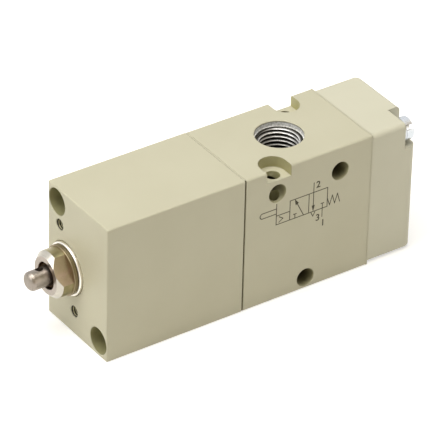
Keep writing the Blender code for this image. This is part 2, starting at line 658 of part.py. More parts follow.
def build_gasket(name, start, screw_spots, with_gallery):
    half = WIDTH / 2 - GASKET_INSET
    back = start + GASKET_THICKNESS
    item = block(name, (start, -half, GASKET_INSET), (back, half, HEIGHT - GASKET_INSET), FIBRE)
    cutters = [
        drill(f"cut_{name}_bore", BUSH_FLANGE_RADIUS + 2 * SEAT_GAP, start - OVERRUN, back + OVERRUN, "X",
              (0.0, SPOOL_Z), segments=ROUND),
    ]
    for number, spot in enumerate(screw_spots, 1):
        cutters.append(drill(f"cut_{name}_screw_{number}", SCREW_HOLE_RADIUS, start - OVERRUN,
                             back + OVERRUN, "X", spot))
    if with_gallery:
        cutters.append(drill(f"cut_{name}_gallery", GALLERY_RADIUS, start - OVERRUN, back + OVERRUN, "X",
                             (GALLERY_Y, GALLERY_Z)))
    cut(item, *cutters)
    return item


# Plunger guide, washer and wiper

def build_guide():
    front = -GUIDE_REACH
    outline = [
        (GUIDE_STEM_END, GUIDE_THREAD_RADIUS),
        (GUIDE_COLLAR_BACK, GUIDE_THREAD_RADIUS),
        (GUIDE_COLLAR_BACK, GUIDE_COLLAR_RADIUS),
        (GUIDE_COLLAR_FRONT, GUIDE_COLLAR_RADIUS),
        (GUIDE_COLLAR_FRONT, GUIDE_HEAD_RADIUS),
        (front + GUIDE_CHAMFER_LENGTH, GUIDE_HEAD_RADIUS),
        (front, GUIDE_HEAD_RADIUS - GUIDE_CHAMFER_DEPTH),
        (front, WIPER_RECESS_RADIUS),
        (front + WIPER_RECESS_DEPTH, WIPER_RECESS_RADIUS),
        (front + WIPER_RECESS_DEPTH, GUIDE_BORE_RADIUS),
        (GUIDE_STEP, GUIDE_BORE_RADIUS),
        (GUIDE_STEP, PLUNGER_CHAMBER_RADIUS),
        (GUIDE_STEM_END, PLUNGER_CHAMBER_RADIUS),
    ]
    item = turned("plunger_guide", outline, ZINC_YELLOW, PLUNGER_AXIS, ring=True, segments=FINE)
    for number, turn in enumerate((0.0, math.pi), 1):
        angle = GUIDE_FLAT_ANGLE + turn
        flat = block(f"cut_wrench_flat_{number}",
                     (front - OVERRUN, GUIDE_HEAD_RADIUS - GUIDE_FLAT_DEPTH, -GUIDE_COLLAR_RADIUS),
                     (GUIDE_COLLAR_FRONT, GUIDE_HEAD_RADIUS + OVERRUN, GUIDE_COLLAR_RADIUS))
        holder = new_empty(f"wrench_flat_turn_{number}", (0.0, 0.0, 0.0), PLUNGER_AXIS)
        holder.rotation_euler = (angle, 0.0, 0.0)
        flat.parent = holder
        cut(item, flat)
    return item


def build_washer():
    inner = GUIDE_THREAD_RADIUS + SEAT_GAP
    outline = [
        (WASHER_BACK, WASHER_RADIUS),
        (WASHER_FRONT + WASHER_CHAMFER, WASHER_RADIUS),
        (WASHER_FRONT, WASHER_RADIUS - WASHER_CHAMFER),
        (WASHER_FRONT, inner),
        (WASHER_BACK, inner),
    ]
    return turned("guide_washer", outline, ZINC_SILVER, PLUNGER_AXIS, ring=True, segments=FINE)


def build_wiper():
    outer = WIPER_RECESS_RADIUS - FACE_GAP
    front = WIPER_BACK - WIPER_THICKNESS
    outline = [
        (WIPER_BACK, outer),
        (front + WIPER_THICKNESS / 3, outer),
        (front, GUIDE_BORE_RADIUS + WIPER_THICKNESS / 3),
        (front, GUIDE_BORE_RADIUS),
        (WIPER_BACK, GUIDE_BORE_RADIUS),
    ]
    return turned("wiper_ring", outline, RUBBER, PLUNGER_AXIS, ring=True, segments=ROUND)


# Plunger and its seal

def build_plunger():
    tip = -PLUNGER_REACH
    groove_half = PLUNGER_SEAL_CORE + FACE_GAP
    groove_floor = PLUNGER_RADIUS - 2 * PLUNGER_SEAL_CORE
    vent_end = tip + VENT_HOLE_FROM_TIP
    outline = [
        (vent_end, 0.0),
        (vent_end, VENT_RADIUS),
        (PLUNGER_END, VENT_RADIUS),
        (PLUNGER_END, PLUNGER_STEM_RADIUS),
        (PLUNGER_COLLAR_BACK, PLUNGER_STEM_RADIUS),
        (PLUNGER_COLLAR_BACK, PLUNGER_COLLAR_RADIUS),
        (PLUNGER_COLLAR_FRONT, PLUNGER_COLLAR_RADIUS),
        (PLUNGER_COLLAR_FRONT, PLUNGER_RADIUS),
        (PLUNGER_SEAL_X + groove_half, PLUNGER_RADIUS),
        (PLUNGER_SEAL_X + groove_half, groove_floor),
        (PLUNGER_SEAL_X - groove_half, groove_floor),
        (PLUNGER_SEAL_X - groove_half, PLUNGER_RADIUS),
    ]
    for step in range(TIP_STEPS + 1):
        angle = math.pi / 2 * step / TIP_STEPS
        outline.append((
            tip + PLUNGER_TIP_LENGTH * (1 - math.sin(angle)),
            PLUNGER_TIP_RADIUS + (PLUNGER_RADIUS - PLUNGER_TIP_RADIUS) * math.cos(angle),
        ))
    outline.append((tip, 0.0))
    item = turned("plunger", outline, STEEL, PLUNGER_AXIS)
    reach = PLUNGER_RADIUS + OVERRUN
    holder = new_empty("vent_turn", (0.0, 0.0, 0.0), PLUNGER_AXIS)
    holder.rotation_euler = (VENT_HOLE_TURN, 0.0, 0.0)
    cut(item, drill("cut_vent", VENT_HOLE_RADIUS, -reach, reach, "Z", (vent_end, 0.0), holder))
    o_ring("plunger_seal", PLUNGER_SEAL_X, groove_floor + FACE_GAP / 2, PLUNGER_SEAL_CORE, PLUNGER_AXIS)


# Pilot valve

def build_pilot_seat():
    outer = PILOT_BORE_RADIUS - SEAT_GAP
    groove_x = (PILOT_SEAT_FRONT + PILOT_SEAT_BACK) / 2
    groove_floor = outer - 2 * PILOT_SEAL_CORE
    groove_half = PILOT_SEAL_CORE + FACE_GAP
    lip_end = PILOT_SEAT_BACK + PILOT_LIP_HEIGHT
    outline = [
        (lip_end, PILOT_SEAT_BORE + PILOT_LIP_WALL),
        (PILOT_SEAT_BACK, PILOT_SEAT_BORE + 2 * PILOT_LIP_WALL),
        (PILOT_SEAT_BACK, outer),
        (groove_x + groove_half, outer),
        (groove_x + groove_half, groove_floor),
        (groove_x - groove_half, groove_floor),
        (groove_x - groove_half, outer),
        (PILOT_SEAT_FRONT, outer),
        (PILOT_SEAT_FRONT, PILOT_SEAT_BORE),
        (lip_end, PILOT_SEAT_BORE),
    ]
    turned("pilot_seat", outline, BRASS, PLUNGER_AXIS, ring=True)
    o_ring("pilot_seat_seal", groove_x, groove_floor + FACE_GAP / 2, PILOT_SEAL_CORE, PLUNGER_AXIS)


def build_poppet():
    rim = POPPET_FLOOR - POPPET_LIP
    outline = [
        (POPPET_STEM_END, 0.0),
        (POPPET_STEM_END, POPPET_STEM_RADIUS),
        (POPPET_BACK, POPPET_STEM_RADIUS),
        (POPPET_BACK, POPPET_RADIUS),
        (rim, POPPET_RADIUS),
        (rim, POPPET_DISC_RADIUS + FACE_GAP),
        (POPPET_FLOOR, POPPET_DISC_RADIUS + FACE_GAP),
        (POPPET_FLOOR, 0.0),
    ]
    turned("pilot_poppet", outline, BRASS, PLUNGER_AXIS, segments=SMALL)
    disc = [
        (POPPET_DISC_BACK, 0.0),
        (POPPET_DISC_BACK, POPPET_DISC_RADIUS),
        (POPPET_DISC_FRONT, POPPET_DISC_RADIUS),
        (POPPET_DISC_FRONT, 0.0),
    ]
    turned("poppet_disc", disc, RUBBER, PLUNGER_AXIS, segments=SMALL)


def build_pilot_plug():
    outer = PILOT_BORE_RADIUS - SEAT_GAP
    groove_x = (PILOT_PLUG_FRONT + PILOT_PLUG_BACK) / 2
    groove_floor = outer - 2 * PILOT_SEAL_CORE
    groove_half = PILOT_SEAL_CORE + FACE_GAP
    hole = POPPET_STEM_RADIUS + RUN_GAP
    hole_end = POPPET_STEM_END + POPPET_TRAVEL + TOUCH_GAP
    outline = [
        (PILOT_PLUG_BACK, 0.0),
        (PILOT_PLUG_BACK, outer),
        (groove_x + groove_half, outer),
        (groove_x + groove_half, groove_floor),
        (groove_x - groove_half, groove_floor),
        (groove_x - groove_half, outer),
        (PILOT_PLUG_FRONT, outer),
        (PILOT_PLUG_FRONT, hole),
        (hole_end, hole),
        (hole_end, 0.0),
    ]
    item = turned("pilot_plug", outline, BRASS, PLUNGER_AXIS)
    half = PILOT_PLUG_SLOT_WIDTH / 2
    reach = PILOT_BORE_RADIUS + OVERRUN
    slot = block("cut_plug_slot", (PILOT_PLUG_BACK - PILOT_PLUG_SLOT_DEPTH, -half, -reach),
                 (PILOT_PLUG_BACK + OVERRUN, half, reach), parent=PLUNGER_AXIS)
    cut(item, slot)
    o_ring("pilot_plug_seal", groove_x, groove_floor + FACE_GAP / 2, PILOT_SEAL_CORE, PLUNGER_AXIS)


# Servo piston

def build_piston():
    outer = PISTON_BORE_RADIUS - SEAT_GAP
    groove_x = (PISTON_FRONT + PISTON_BACK) / 2
    groove_floor = outer - 2 * PISTON_SEAL_CORE
    groove_half = PISTON_SEAL_CORE + FACE_GAP
    outline = [
        (PISTON_NOSE_END, 0.0),
        (PISTON_NOSE_END, PISTON_NOSE_RADIUS),
        (PISTON_BACK, PISTON_NOSE_RADIUS),
        (PISTON_BACK, outer),
        (groove_x + groove_half, outer),
        (groove_x + groove_half, groove_floor),
        (groove_x - groove_half, groove_floor),
        (groove_x - groove_half, outer),
        (PISTON_FRONT, outer),
        (PISTON_FRONT, 0.0),
    ]
    turned("servo_piston", outline, PLASTIC, SPOOL_AXIS)
    o_ring("piston_seal", groove_x, groove_floor + FACE_GAP / 2, PISTON_SEAL_CORE, SPOOL_AXIS)


# Spool with its stack of cages, bushes and seals

def build_spool():
    outline = [
        (SPOOL_BACK + SPOOL_END_LENGTH, 0.0),
        (SPOOL_BACK + SPOOL_END_LENGTH, SPOOL_END_RADIUS),
        (SPOOL_BACK, SPOOL_END_RADIUS),
        (SPOOL_BACK, SPOOL_RADIUS - SPOOL_CHAMFER),
        (SPOOL_BACK - SPOOL_CHAMFER, SPOOL_RADIUS),
        (SPOOL_NECK_END, SPOOL_RADIUS),
        (SPOOL_NECK_END - SPOOL_CHAMFER, SPOOL_NECK_RADIUS),
        (SPOOL_NECK_START + SPOOL_CHAMFER, SPOOL_NECK_RADIUS),
        (SPOOL_NECK_START, SPOOL_RADIUS),
        (SPOOL_FRONT + SPOOL_CHAMFER, SPOOL_RADIUS),
        (SPOOL_FRONT, SPOOL_RADIUS - SPOOL_CHAMFER),
        (SPOOL_FRONT, 0.0),
    ]
    turned("spool", outline, NICKEL, SPOOL_AXIS)


def seal_places():
    first = BODY_START + END_SEAL_INSET
    return [first + step * PORT_PITCH for step in range(SEAL_COUNT)]


def build_seals():
    for number, x in enumerate(seal_places(), 1):
        o_ring(f"spool_seal_{number}", x, SPOOL_SEAL_INNER, SPOOL_SEAL_CORE, SPOOL_AXIS)


def build_cages():
    """A cage holds two seals apart at each port; air passes through its windows."""
    outer = SPOOL_BORE_RADIUS - RUN_GAP
    places = seal_places()
    for name, first, second in zip(("exhaust", "outlet", "supply"), places, places[1:]):
        start = first + SPOOL_SEAL_CORE + FACE_GAP
        end = second - SPOOL_SEAL_CORE - FACE_GAP
        outline = [
            (end, outer),
            (end - CAGE_RIM, outer),
            (end - CAGE_RIM, outer - CAGE_WAIST),
            (start + CAGE_RIM, outer - CAGE_WAIST),
            (start + CAGE_RIM, outer),
            (start, outer),
            (start, CAGE_BORE_RADIUS),
            (end, CAGE_BORE_RADIUS),
        ]
        item = turned(f"{name}_cage", outline, PLASTIC, SPOOL_AXIS, ring=True)
        reach = SPOOL_BORE_RADIUS + OVERRUN
        for window in range(CAGE_WINDOW_PAIRS):
            way = drill(f"cut_{name}_window_{window + 1}", CAGE_WINDOW_RADIUS, -reach, reach, "Z",
                        ((start + end) / 2, 0.0), segments=TINY)
            holder = new_empty(f"{name}_window_turn_{window + 1}", (0.0, 0.0, 0.0), SPOOL_AXIS)
            holder.rotation_euler = (math.pi * window / CAGE_WINDOW_PAIRS, 0.0, 0.0)
            way.parent = holder
            cut(item, way)


def build_bushes():
    """Flanged end bushes close the stack; each flange is held between two blocks."""
    sleeve = SPOOL_BORE_RADIUS - RUN_GAP
    bore = SPOOL_SEAL_INNER
    places = seal_places()
    flange_front = BODY_START + FACE_GAP
    flange_back = flange_front + BUSH_FLANGE_THICKNESS
    inner_end = places[0] - SPOOL_SEAL_CORE - FACE_GAP
    outline = [
        (inner_end, sleeve),
        (flange_back, sleeve),
        (flange_back, BUSH_FLANGE_RADIUS),
        (flange_front, BUSH_FLANGE_RADIUS),
        (flange_front, bore),
        (inner_end, bore),
    ]
    turned("piston_end_bush", outline, PLASTIC, SPOOL_AXIS, ring=True)
    flange_back = BODY_END - FACE_GAP
    flange_front = flange_back - BUSH_FLANGE_THICKNESS
    inner_end = places[-1] + SPOOL_SEAL_CORE + FACE_GAP
    outline = [
        (flange_back, BUSH_FLANGE_RADIUS),
        (flange_front, BUSH_FLANGE_RADIUS),
        (flange_front, sleeve),
        (inner_end, sleeve),
        (inner_end, bore),
        (flange_back, bore),
    ]
    turned("spring_end_bush", outline, PLASTIC, SPOOL_AXIS, ring=True)


def build_spring_seat():
    inner = SPOOL_END_RADIUS + FACE_GAP
    outline = [
        (SPRING_SEAT_BACK, SPRING_SEAT_RADIUS),
        (SPRING_SEAT_FRONT, SPRING_SEAT_RADIUS),
        (SPRING_SEAT_FRONT, inner),
        (SPRING_SEAT_BACK, inner),
    ]
    turned("spring_seat", outline, PLASTIC, SPOOL_AXIS, ring=True)


# Springs

def build_springs():
    coil_spring("plunger_spring", PLUNGER_COLLAR_BACK + SEAT_GAP, PLUNGER_SPRING_END,
                (PLUNGER_STEM_RADIUS + PLUNGER_CHAMBER_RADIUS) / 2, PLUNGER_WIRE, PLUNGER_SPRING_TURNS,
                PLUNGER_AXIS)
    coil_spring("pilot_spring", POPPET_BACK + FACE_GAP, PILOT_PLUG_FRONT - FACE_GAP,
                (POPPET_STEM_RADIUS + POPPET_RADIUS) / 2, PILOT_WIRE, PILOT_SPRING_TURNS, PLUNGER_AXIS)
    coil_spring("return_spring", SPRING_SEAT_BACK + SEAT_GAP, SPRING_BORE_END - SEAT_GAP,
                (SPOOL_END_RADIUS + SPRING_BORE_RADIUS) / 2, RETURN_WIRE, RETURN_SPRING_TURNS, SPOOL_AXIS)


# Assembly screws

def build_block_screws():
    """Two socket head screws, sunk in the deep counterbores of the plunger block."""
    outline = [
        (BLOCK_SCREW_END, 0.0),
        (BLOCK_SCREW_END, SCREW_RADIUS),
        (BLOCK_HEAD_BACK, SCREW_RADIUS),
        (BLOCK_HEAD_BACK, SCREW_HEAD_RADIUS),
        (BLOCK_HEAD_BACK - BLOCK_SCREW_HEAD, SCREW_HEAD_RADIUS),
        (BLOCK_HEAD_BACK - BLOCK_SCREW_HEAD, 0.0),
    ]
    key_radius = HEX_KEY_SIZE / math.sqrt(3)
    head_front = BLOCK_HEAD_BACK - BLOCK_SCREW_HEAD
    for number, spot in enumerate(BLOCK_SCREW_SPOTS, 1):
        item = turned(f"block_screw_{number}", outline, ZINC_SILVER, ASSEMBLY, spot, segments=SMALL)
        cut(item, drill(f"cut_key_{number}", key_radius, head_front - OVERRUN, head_front + HEX_KEY_DEPTH,
                        "X", spot, segments=HEX_KEY_SIDES))


def build_cover_screws():
    """Two slotted cheese head screws, standing in the notches of the end cover."""
    head_end = COVER_HEAD_FRONT + COVER_SCREW_HEAD
    outline = [
        (head_end, 0.0),
        (head_end, SCREW_HEAD_RADIUS),
        (COVER_HEAD_FRONT, SCREW_HEAD_RADIUS),
        (COVER_HEAD_FRONT, SCREW_RADIUS),
        (COVER_SCREW_END, SCREW_RADIUS),
        (COVER_SCREW_END, 0.0),
    ]
    half = COVER_SCREW_SLOT_WIDTH / 2
    reach = SCREW_HEAD_RADIUS + OVERRUN
    for number, spot in enumerate(COVER_SCREW_SPOTS, 1):
        item = turned(f"cover_screw_{number}", outline, ZINC_SILVER, ASSEMBLY, spot, segments=SMALL)
        holder = new_empty(f"slot_turn_{number}", (0.0, *spot), ASSEMBLY)
        holder.rotation_euler = (COVER_SCREW_SLOT_ANGLE, 0.0, 0.0)
        slot = block(f"cut_slot_{number}", (head_end - COVER_SCREW_SLOT_DEPTH, -reach, -half),
                     (head_end + OVERRUN, reach, half), parent=holder)
        cut(item, slot)


def build_screw_washers(name, front, spots):
    outline = [
        (front + SCREW_WASHER_THICKNESS, SCREW_WASHER_RADIUS),
        (front, SCREW_WASHER_RADIUS),
        (front, SCREW_HOLE_RADIUS),
        (front + SCREW_WASHER_THICKNESS, SCREW_HOLE_RADIUS),
    ]
    for number, spot in enumerate(spots, 1):
        turned(f"{name}_{number}", outline, ZINC_SILVER, ASSEMBLY, spot, ring=True, segments=SMALL)


def main():
    build_plunger_block()
    build_valve_body()
    build_end_cover()
    build_gasket("block_gasket", BLOCK_LENGTH + FACE_GAP, BLOCK_SCREW_SPOTS, True)
    build_gasket("cover_gasket", BODY_END + FACE_GAP, COVER_SCREW_SPOTS, False)
    build_guide()
    build_washer()
    build_wiper()
    build_plunger()
    build_pilot_seat()
    build_poppet()
    build_pilot_plug()
    build_piston()
    build_spool()
    build_seals()
    build_cages()
    build_bushes()
    build_spring_seat()
    build_springs()
    build_block_screws()
    build_cover_screws()
    build_screw_washers("block_screw_washer", BLOCK_WASHER_FRONT, BLOCK_SCREW_SPOTS)
    build_screw_washers("cover_screw_washer", NOTCH_FLOOR + FACE_GAP, COVER_SCREW_SPOTS)


main()
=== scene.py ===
"""Looks of the plunger air valve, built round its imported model.

Lengths are in metres and named in millimetres times MM. The valve lies along X with its plunger towards
-X, its printed side towards -Y and its base on the floor at z = 0. Outer pieces are made again with fine
edges, threads and print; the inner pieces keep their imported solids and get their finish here.
"""

import json
from math import copysign, cos, hypot, pi, radians, sin, sqrt, tau

import bmesh
import bpy
from mathutils import Matrix, Vector


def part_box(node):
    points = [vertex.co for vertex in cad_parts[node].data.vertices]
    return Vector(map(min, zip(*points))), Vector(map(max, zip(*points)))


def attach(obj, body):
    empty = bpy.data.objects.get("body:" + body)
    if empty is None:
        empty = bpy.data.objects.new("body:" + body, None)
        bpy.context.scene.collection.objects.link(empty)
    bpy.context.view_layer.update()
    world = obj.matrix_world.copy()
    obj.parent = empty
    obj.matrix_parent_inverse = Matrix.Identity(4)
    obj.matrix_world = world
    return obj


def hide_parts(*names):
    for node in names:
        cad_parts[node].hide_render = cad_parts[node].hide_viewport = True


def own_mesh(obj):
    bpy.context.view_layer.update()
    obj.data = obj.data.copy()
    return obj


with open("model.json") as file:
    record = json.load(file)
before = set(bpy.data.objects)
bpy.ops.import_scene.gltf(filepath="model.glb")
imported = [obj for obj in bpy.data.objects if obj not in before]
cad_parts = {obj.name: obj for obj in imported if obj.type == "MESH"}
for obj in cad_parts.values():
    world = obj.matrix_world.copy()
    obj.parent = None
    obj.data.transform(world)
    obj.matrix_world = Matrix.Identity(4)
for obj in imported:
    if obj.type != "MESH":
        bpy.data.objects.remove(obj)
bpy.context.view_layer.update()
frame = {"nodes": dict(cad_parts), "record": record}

MM = 0.001


def spot_of(node):
    """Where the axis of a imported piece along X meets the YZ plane."""
    low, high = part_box(node)
    return (low.y + high.y) / 2, (low.z + high.z) / 2


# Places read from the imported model
BLOCK_LOW, BLOCK_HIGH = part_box("plunger_block")
BODY_LOW, BODY_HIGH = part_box("valve_body")
COVER_LOW, COVER_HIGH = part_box("end_cover")
PLUNGER_LOW, PLUNGER_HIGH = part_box("plunger")
GUIDE_LOW, GUIDE_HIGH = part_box("plunger_guide")
WASHER_LOW, WASHER_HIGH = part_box("guide_washer")
WIPER_LOW, WIPER_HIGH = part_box("wiper_ring")
PILOT_SEAT_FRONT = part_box("pilot_seat")[0].x
PISTON_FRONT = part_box("servo_piston")[0].x
FACE_X = BLOCK_LOW.x
HEIGHT = BLOCK_HIGH.z
HALF_WIDTH = BLOCK_HIGH.y
MIDDLE_X = (BODY_LOW.x + BODY_HIGH.x) / 2
SPOOL_Z = HEIGHT / 2
PLUNGER_SPOT = spot_of("plunger")
SPOOL_SPOT = (0.0, SPOOL_Z)
BLOCK_SCREW_SPOTS = [spot_of("block_screw_1"), spot_of("block_screw_2")]
COVER_SCREW_SPOTS = [spot_of("cover_screw_1"), spot_of("cover_screw_2")]

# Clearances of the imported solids
FACE_GAP = 0.1 * MM
SEAT_GAP = 0.2 * MM
RUN_GAP = 0.15 * MM
OVERRUN = 2.0 * MM
WALL_SLACK = 0.1 * MM
FACE_SLACK = 0.01 * MM
WELD = 0.001 * MM

# Edges of the painted blocks and rims of their holes
BLOCK_EDGE = 0.4 * MM
BODY_EDGE = 0.6 * MM
JOINT_EDGE = 0.12 * MM
COVER_EDGE = 1.4 * MM
COVER_FRONT_EDGE = 0.3 * MM
COVER_BACK_EDGE = 2.3 * MM
RIM = 0.25 * MM
FINE_EDGE = 0.12 * MM

# Gaskets in the joints
GASKET_CRACK = 0.03 * MM
GASKET_INSET = 0.45 * MM
PAINTED_INSET = 0.07 * MM
GASKET_TOP_FACING = 0.5

# Holes of the plunger block
GUIDE_SEAT_RADIUS = 8.2 * MM
GUIDE_BORE_RADIUS = 6.2 * MM
CHAMBER_RADIUS = 4.6 * MM
PILOT_BORE_RADIUS = 5.5 * MM
PISTON_BORE_RADIUS = 9.0 * MM
COUNTERBORE_RADIUS = 4.1 * MM
COUNTERBORE_DEPTH = 24.0 * MM
SCREW_HOLE_RADIUS = 2.2 * MM
HEAD_HOLE_RADIUS = 1.75 * MM
HEAD_HOLE_DEPTH = 9.0 * MM
HEAD_HOLE_CIRCLE = 13.0 * MM
HEAD_HOLE_ANGLE = 73.2

# Holes of the valve body
PORT_PITCH = 11.0 * MM
PORT_RADIUS = 6.6 * MM
PORT_MOUTH_RADIUS = 7.1 * MM
PORT_MOUTH_DEPTH = 1.8 * MM
PORT_DEPTH = 11.5 * MM
PORT_PASSAGE_RADIUS = 3.5 * MM
SPOOL_BORE_RADIUS = 8.0 * MM
FLANGE_RECESS_RADIUS = 10.2 * MM
FLANGE_RECESS_DEPTH = 1.5 * MM
CROSS_HOLE_RADIUS = 2.85 * MM
CROSS_HOLE_SPREAD = 10.8 * MM
CROSS_HOLE_FROM_TOP = 7.95 * MM
CROSS_HOLE_FROM_BASE = 3.7 * MM
POCKET_SPREAD = 10.5 * MM
POCKET_FROM_SIDE = 3.15 * MM
POCKET_RADIUS = 4.2 * MM
POCKET_DEPTH = 3.5 * MM
POCKET_HOLE_RADIUS = 2.1 * MM
SPRING_BORE_RADIUS = 5.4 * MM
COVER_FLOOR = 3.0 * MM

# Threads
PORT_THREAD_PITCH = 1.337 * MM
PORT_THREAD_DEPTH = 0.82 * MM
HEAD_THREAD_PITCH = 0.7 * MM
HEAD_THREAD_DEPTH = 0.32 * MM
HEAD_THREAD_COLUMNS = 48
PORT_THREAD_CLEARANCE = 0.03 * MM
HEAD_THREAD_CLEARANCE = 0.02 * MM
THREAD_WALL = 0.3 * MM
THREAD_START = 0.68
THREAD_FLAT_SHARE = 0.12
THREAD_LEAD_IN = 2.5
THREAD_SHADE_START = 1.0 * MM
THREAD_SHADE_END = 7.0 * MM
DIRT_AND_SHADE_REACH = 0.7 * MM
HOLE_SHADE_REACH = 5.0 * MM

# Plunger guide and plunger
GUIDE_HEAD_RADIUS = 7.05 * MM
GUIDE_CHAMFER_LENGTH = 1.5 * MM
GUIDE_CHAMFER_DEPTH = 1.35 * MM
GUIDE_FLAT_DEPTH = 1.35 * MM
GUIDE_FLAT_ANGLE = radians(145.0)
GUIDE_COLLAR_RADIUS = 7.5 * MM
GUIDE_COLLAR_LENGTH = 1.2 * MM
GUIDE_STEM_RADIUS = 6.0 * MM
GUIDE_STEP = 4.0 * MM
WASHER_EDGE = 0.4 * MM
WIPER_RECESS_RADIUS = 4.1 * MM
WIPER_RECESS_DEPTH = 1.8 * MM
PLUNGER_RADIUS = 2.85 * MM
PLUNGER_BORE = PLUNGER_RADIUS + RUN_GAP
PLUNGER_TIP_RADIUS = 1.3 * MM
PLUNGER_TIP_LENGTH = 1.5 * MM
PLUNGER_COLLAR_RADIUS = 4.3 * MM
PLUNGER_COLLAR_LENGTH = 2.6 * MM
PLUNGER_STEM_RADIUS = 1.6 * MM
PLUNGER_SEAL_CORE = 0.5 * MM
VENT_RADIUS = 0.7 * MM
VENT_HOLE_RADIUS = 1.2 * MM
VENT_HOLE_FROM_TIP = 4.2 * MM
VENT_HOLE_TURN = radians(-10.0)

# Screws
SCREW_RADIUS = 2.0 * MM
SCREW_EDGE = 0.3 * MM
SCREW_HEAD_RADIUS = 3.5 * MM
BLOCK_SCREW_HEAD = 4.0 * MM
COVER_SCREW_HEAD = 2.6 * MM
COVER_SLOT_WIDTH = 1.5 * MM
COVER_SLOT_DEPTH = 1.4 * MM
COVER_SLOT_ANGLE = radians(145.0)
HEX_KEY_SIZE = 3.0 * MM
HEX_KEY_DEPTH = 2.0 * MM

# Facets
FINE = 128
ROUND = 96
SMALL = 64
EDGE_STEPS = 4
COVER_EDGE_STEPS = 6
WASHER_EDGE_STEPS = 5
TIP_STEPS = 12
THREAD_ROWS_PER_TURN = 12
COIL_POINTS_PER_TURN = 24
COIL_ROUNDNESS = 3

# Notches of the end cover, past the screw washers
NOTCH_SIDE_MARGIN = 1.3 * MM
NOTCH_HEIGHT_MARGIN = 0.3 * MM

# Finishes. A scale is that of a noise, per metre.
WHITE = (1.0, 1.0, 1.0)
PAINT_EDGE = 0.35 * MM
PAINT_WEAR = 0.35
PAINT_WEAR_LIGHTER = 1.12
PAINT_CLOUD_SCALE = 55.0
PAINT_SPECK_SCALE = 900.0
PAINT_GLOSS_SCALE = 240.0
PAINT_PEEL_SCALE = 1500.0
PAINT_PEEL = 0.02 * MM
HOLE_CLOUD_SCALE = 400.0
METAL_DRIFT_SCALE = 260.0
METAL_CLOUD_SCALE = 300.0
METAL_GRAIN_SCALE = 2500.0
METAL_GRAIN = 0.01 * MM
LATHE_RING_SCALE = 9000.0
FINE_RING_SCALE = 14000.0
FINE_RING = 0.006 * MM
THREAD_SCRATCH_SCALE = 2200.0
THREAD_FLANK_DIMMING = 0.35
THREAD_ROOT_SHADE = (0.050, 0.046, 0.036)
THREAD_SHADE = (0.20, 0.19, 0.165)
PORT_SPECK_SCALE = 1600.0
PORT_DIRT_AND_SHADE_SCALE = 700.0


# Shader nodes. A function that takes sockets adds a node to their tree and gives its output.

def add_node(tree, kind, inputs=None, **settings):
    """Adds a node; inputs maps a socket's name or number to a value or to another node's output."""
    item = tree.nodes.new("ShaderNode" + kind)
    for key, value in settings.items():
        setattr(item, key, value)
    for key, value in (inputs or {}).items():
        if isinstance(value, bpy.types.NodeSocket):
            tree.links.new(value, item.inputs[key])
        else:
            item.inputs[key].default_value = value
    return item


def calc(operation, first, *others, clamp=False):
    inputs = dict(enumerate((first, *others)))
    return add_node(first.id_data, "Math", inputs, operation=operation, use_clamp=clamp).outputs[0]


def measure(operation, *vectors):
    """A single number from one or two vectors."""
    inputs = dict(enumerate(vectors))
    return add_node(vectors[0].id_data, "VectorMath", inputs, operation=operation).outputs["Value"]


def part_of(vector, axis):
    return add_node(vector.id_data, "SeparateXYZ", {"Vector": vector}).outputs[axis]


def spread(value, low, high, start=0.0, end=1.0):
    """Goes from low to high while the value goes from start to end."""
    inputs = {"Value": value, "From Min": start, "From Max": end, "To Min": low, "To Max": high}
    return add_node(value.id_data, "MapRange", inputs).outputs["Result"]


def rise(value, start, end):
    """Goes from 0 to 1 while the value goes from start to end."""
    return spread(value, 0.0, 1.0, start, end)


def blend(share, first, second, blend_type="MIX"):
    tree, inputs = first.id_data, {"Factor": share, "A": first, "B": second}
    return add_node(tree, "Mix", inputs, data_type="RGBA", blend_type=blend_type).outputs["Result"]


def noise(place, scale, detail=2.0, distortion=0.0):
    inputs = {"Vector": place, "Scale": scale, "Detail": detail, "Distortion": distortion}
    return add_node(place.id_data, "TexNoise", inputs).outputs["Fac"]


def ramp(fac, stops):
    """A colour ramp through (position, (r, g, b)) stops."""
    item = add_node(fac.id_data, "ValToRGB", {"Fac": fac})
    elements = item.color_ramp.elements
    while len(elements) < len(stops):
        elements.new(0.5)
    for element, (position, colour) in zip(elements, stops):
        element.position = position
        element.color = (*colour, 1.0)
    return item.outputs["Color"]


def tones(fac, colours, start=0.35, end=0.65):
    """A ramp through the colours at even steps from start to end."""
    step = (end - start) / (len(colours) - 1)
    return ramp(fac, [(start + number * step, colour) for number, colour in enumerate(colours)])


def bump(height, distance, strength=0.5, normal=None):
    inputs = {"Height": height, "Distance": distance, "Strength": strength}
    if normal:
        inputs["Normal"] = normal
    return add_node(height.id_data, "Bump", inputs).outputs["Normal"]


def turning_place(place):
    """Coordinates (radius, along the axis) for a piece turned about its own Z."""
    tree = place.id_data
    split = add_node(tree, "SeparateXYZ", {"Vector": place}).outputs
    flat = add_node(tree, "CombineXYZ", {"X": split["X"], "Y": split["Y"]}).outputs["Vector"]
    radius = measure("LENGTH", flat)
    return add_node(tree, "CombineXYZ", {"X": radius, "Y": split["Z"]}).outputs["Vector"]


# Materials

def new_material(name, roughness, metallic=0.0, shine=0.5):
    """A material, and the coordinates of the object that it is on."""
    material = bpy.data.materials.new(name)
    material.use_nodes = True
    shader = material.node_tree.nodes["Principled BSDF"].inputs
    shader["Roughness"].default_value = roughness
    shader["Metallic"].default_value = metallic
    shader["Specular IOR Level"].default_value = shine
    return material, add_node(material.node_tree, "TexCoord").outputs["Object"]


def dress(material, colour, roughness=None, normal=None):
    """Links what the nodes give to the material's shader."""
    shader = material.node_tree.nodes["Principled BSDF"]
    for name, source in (("Base Color", colour), ("Roughness", roughness), ("Normal", normal)):
        if source:
            material.node_tree.links.new(source, shader.inputs[name])
    return material


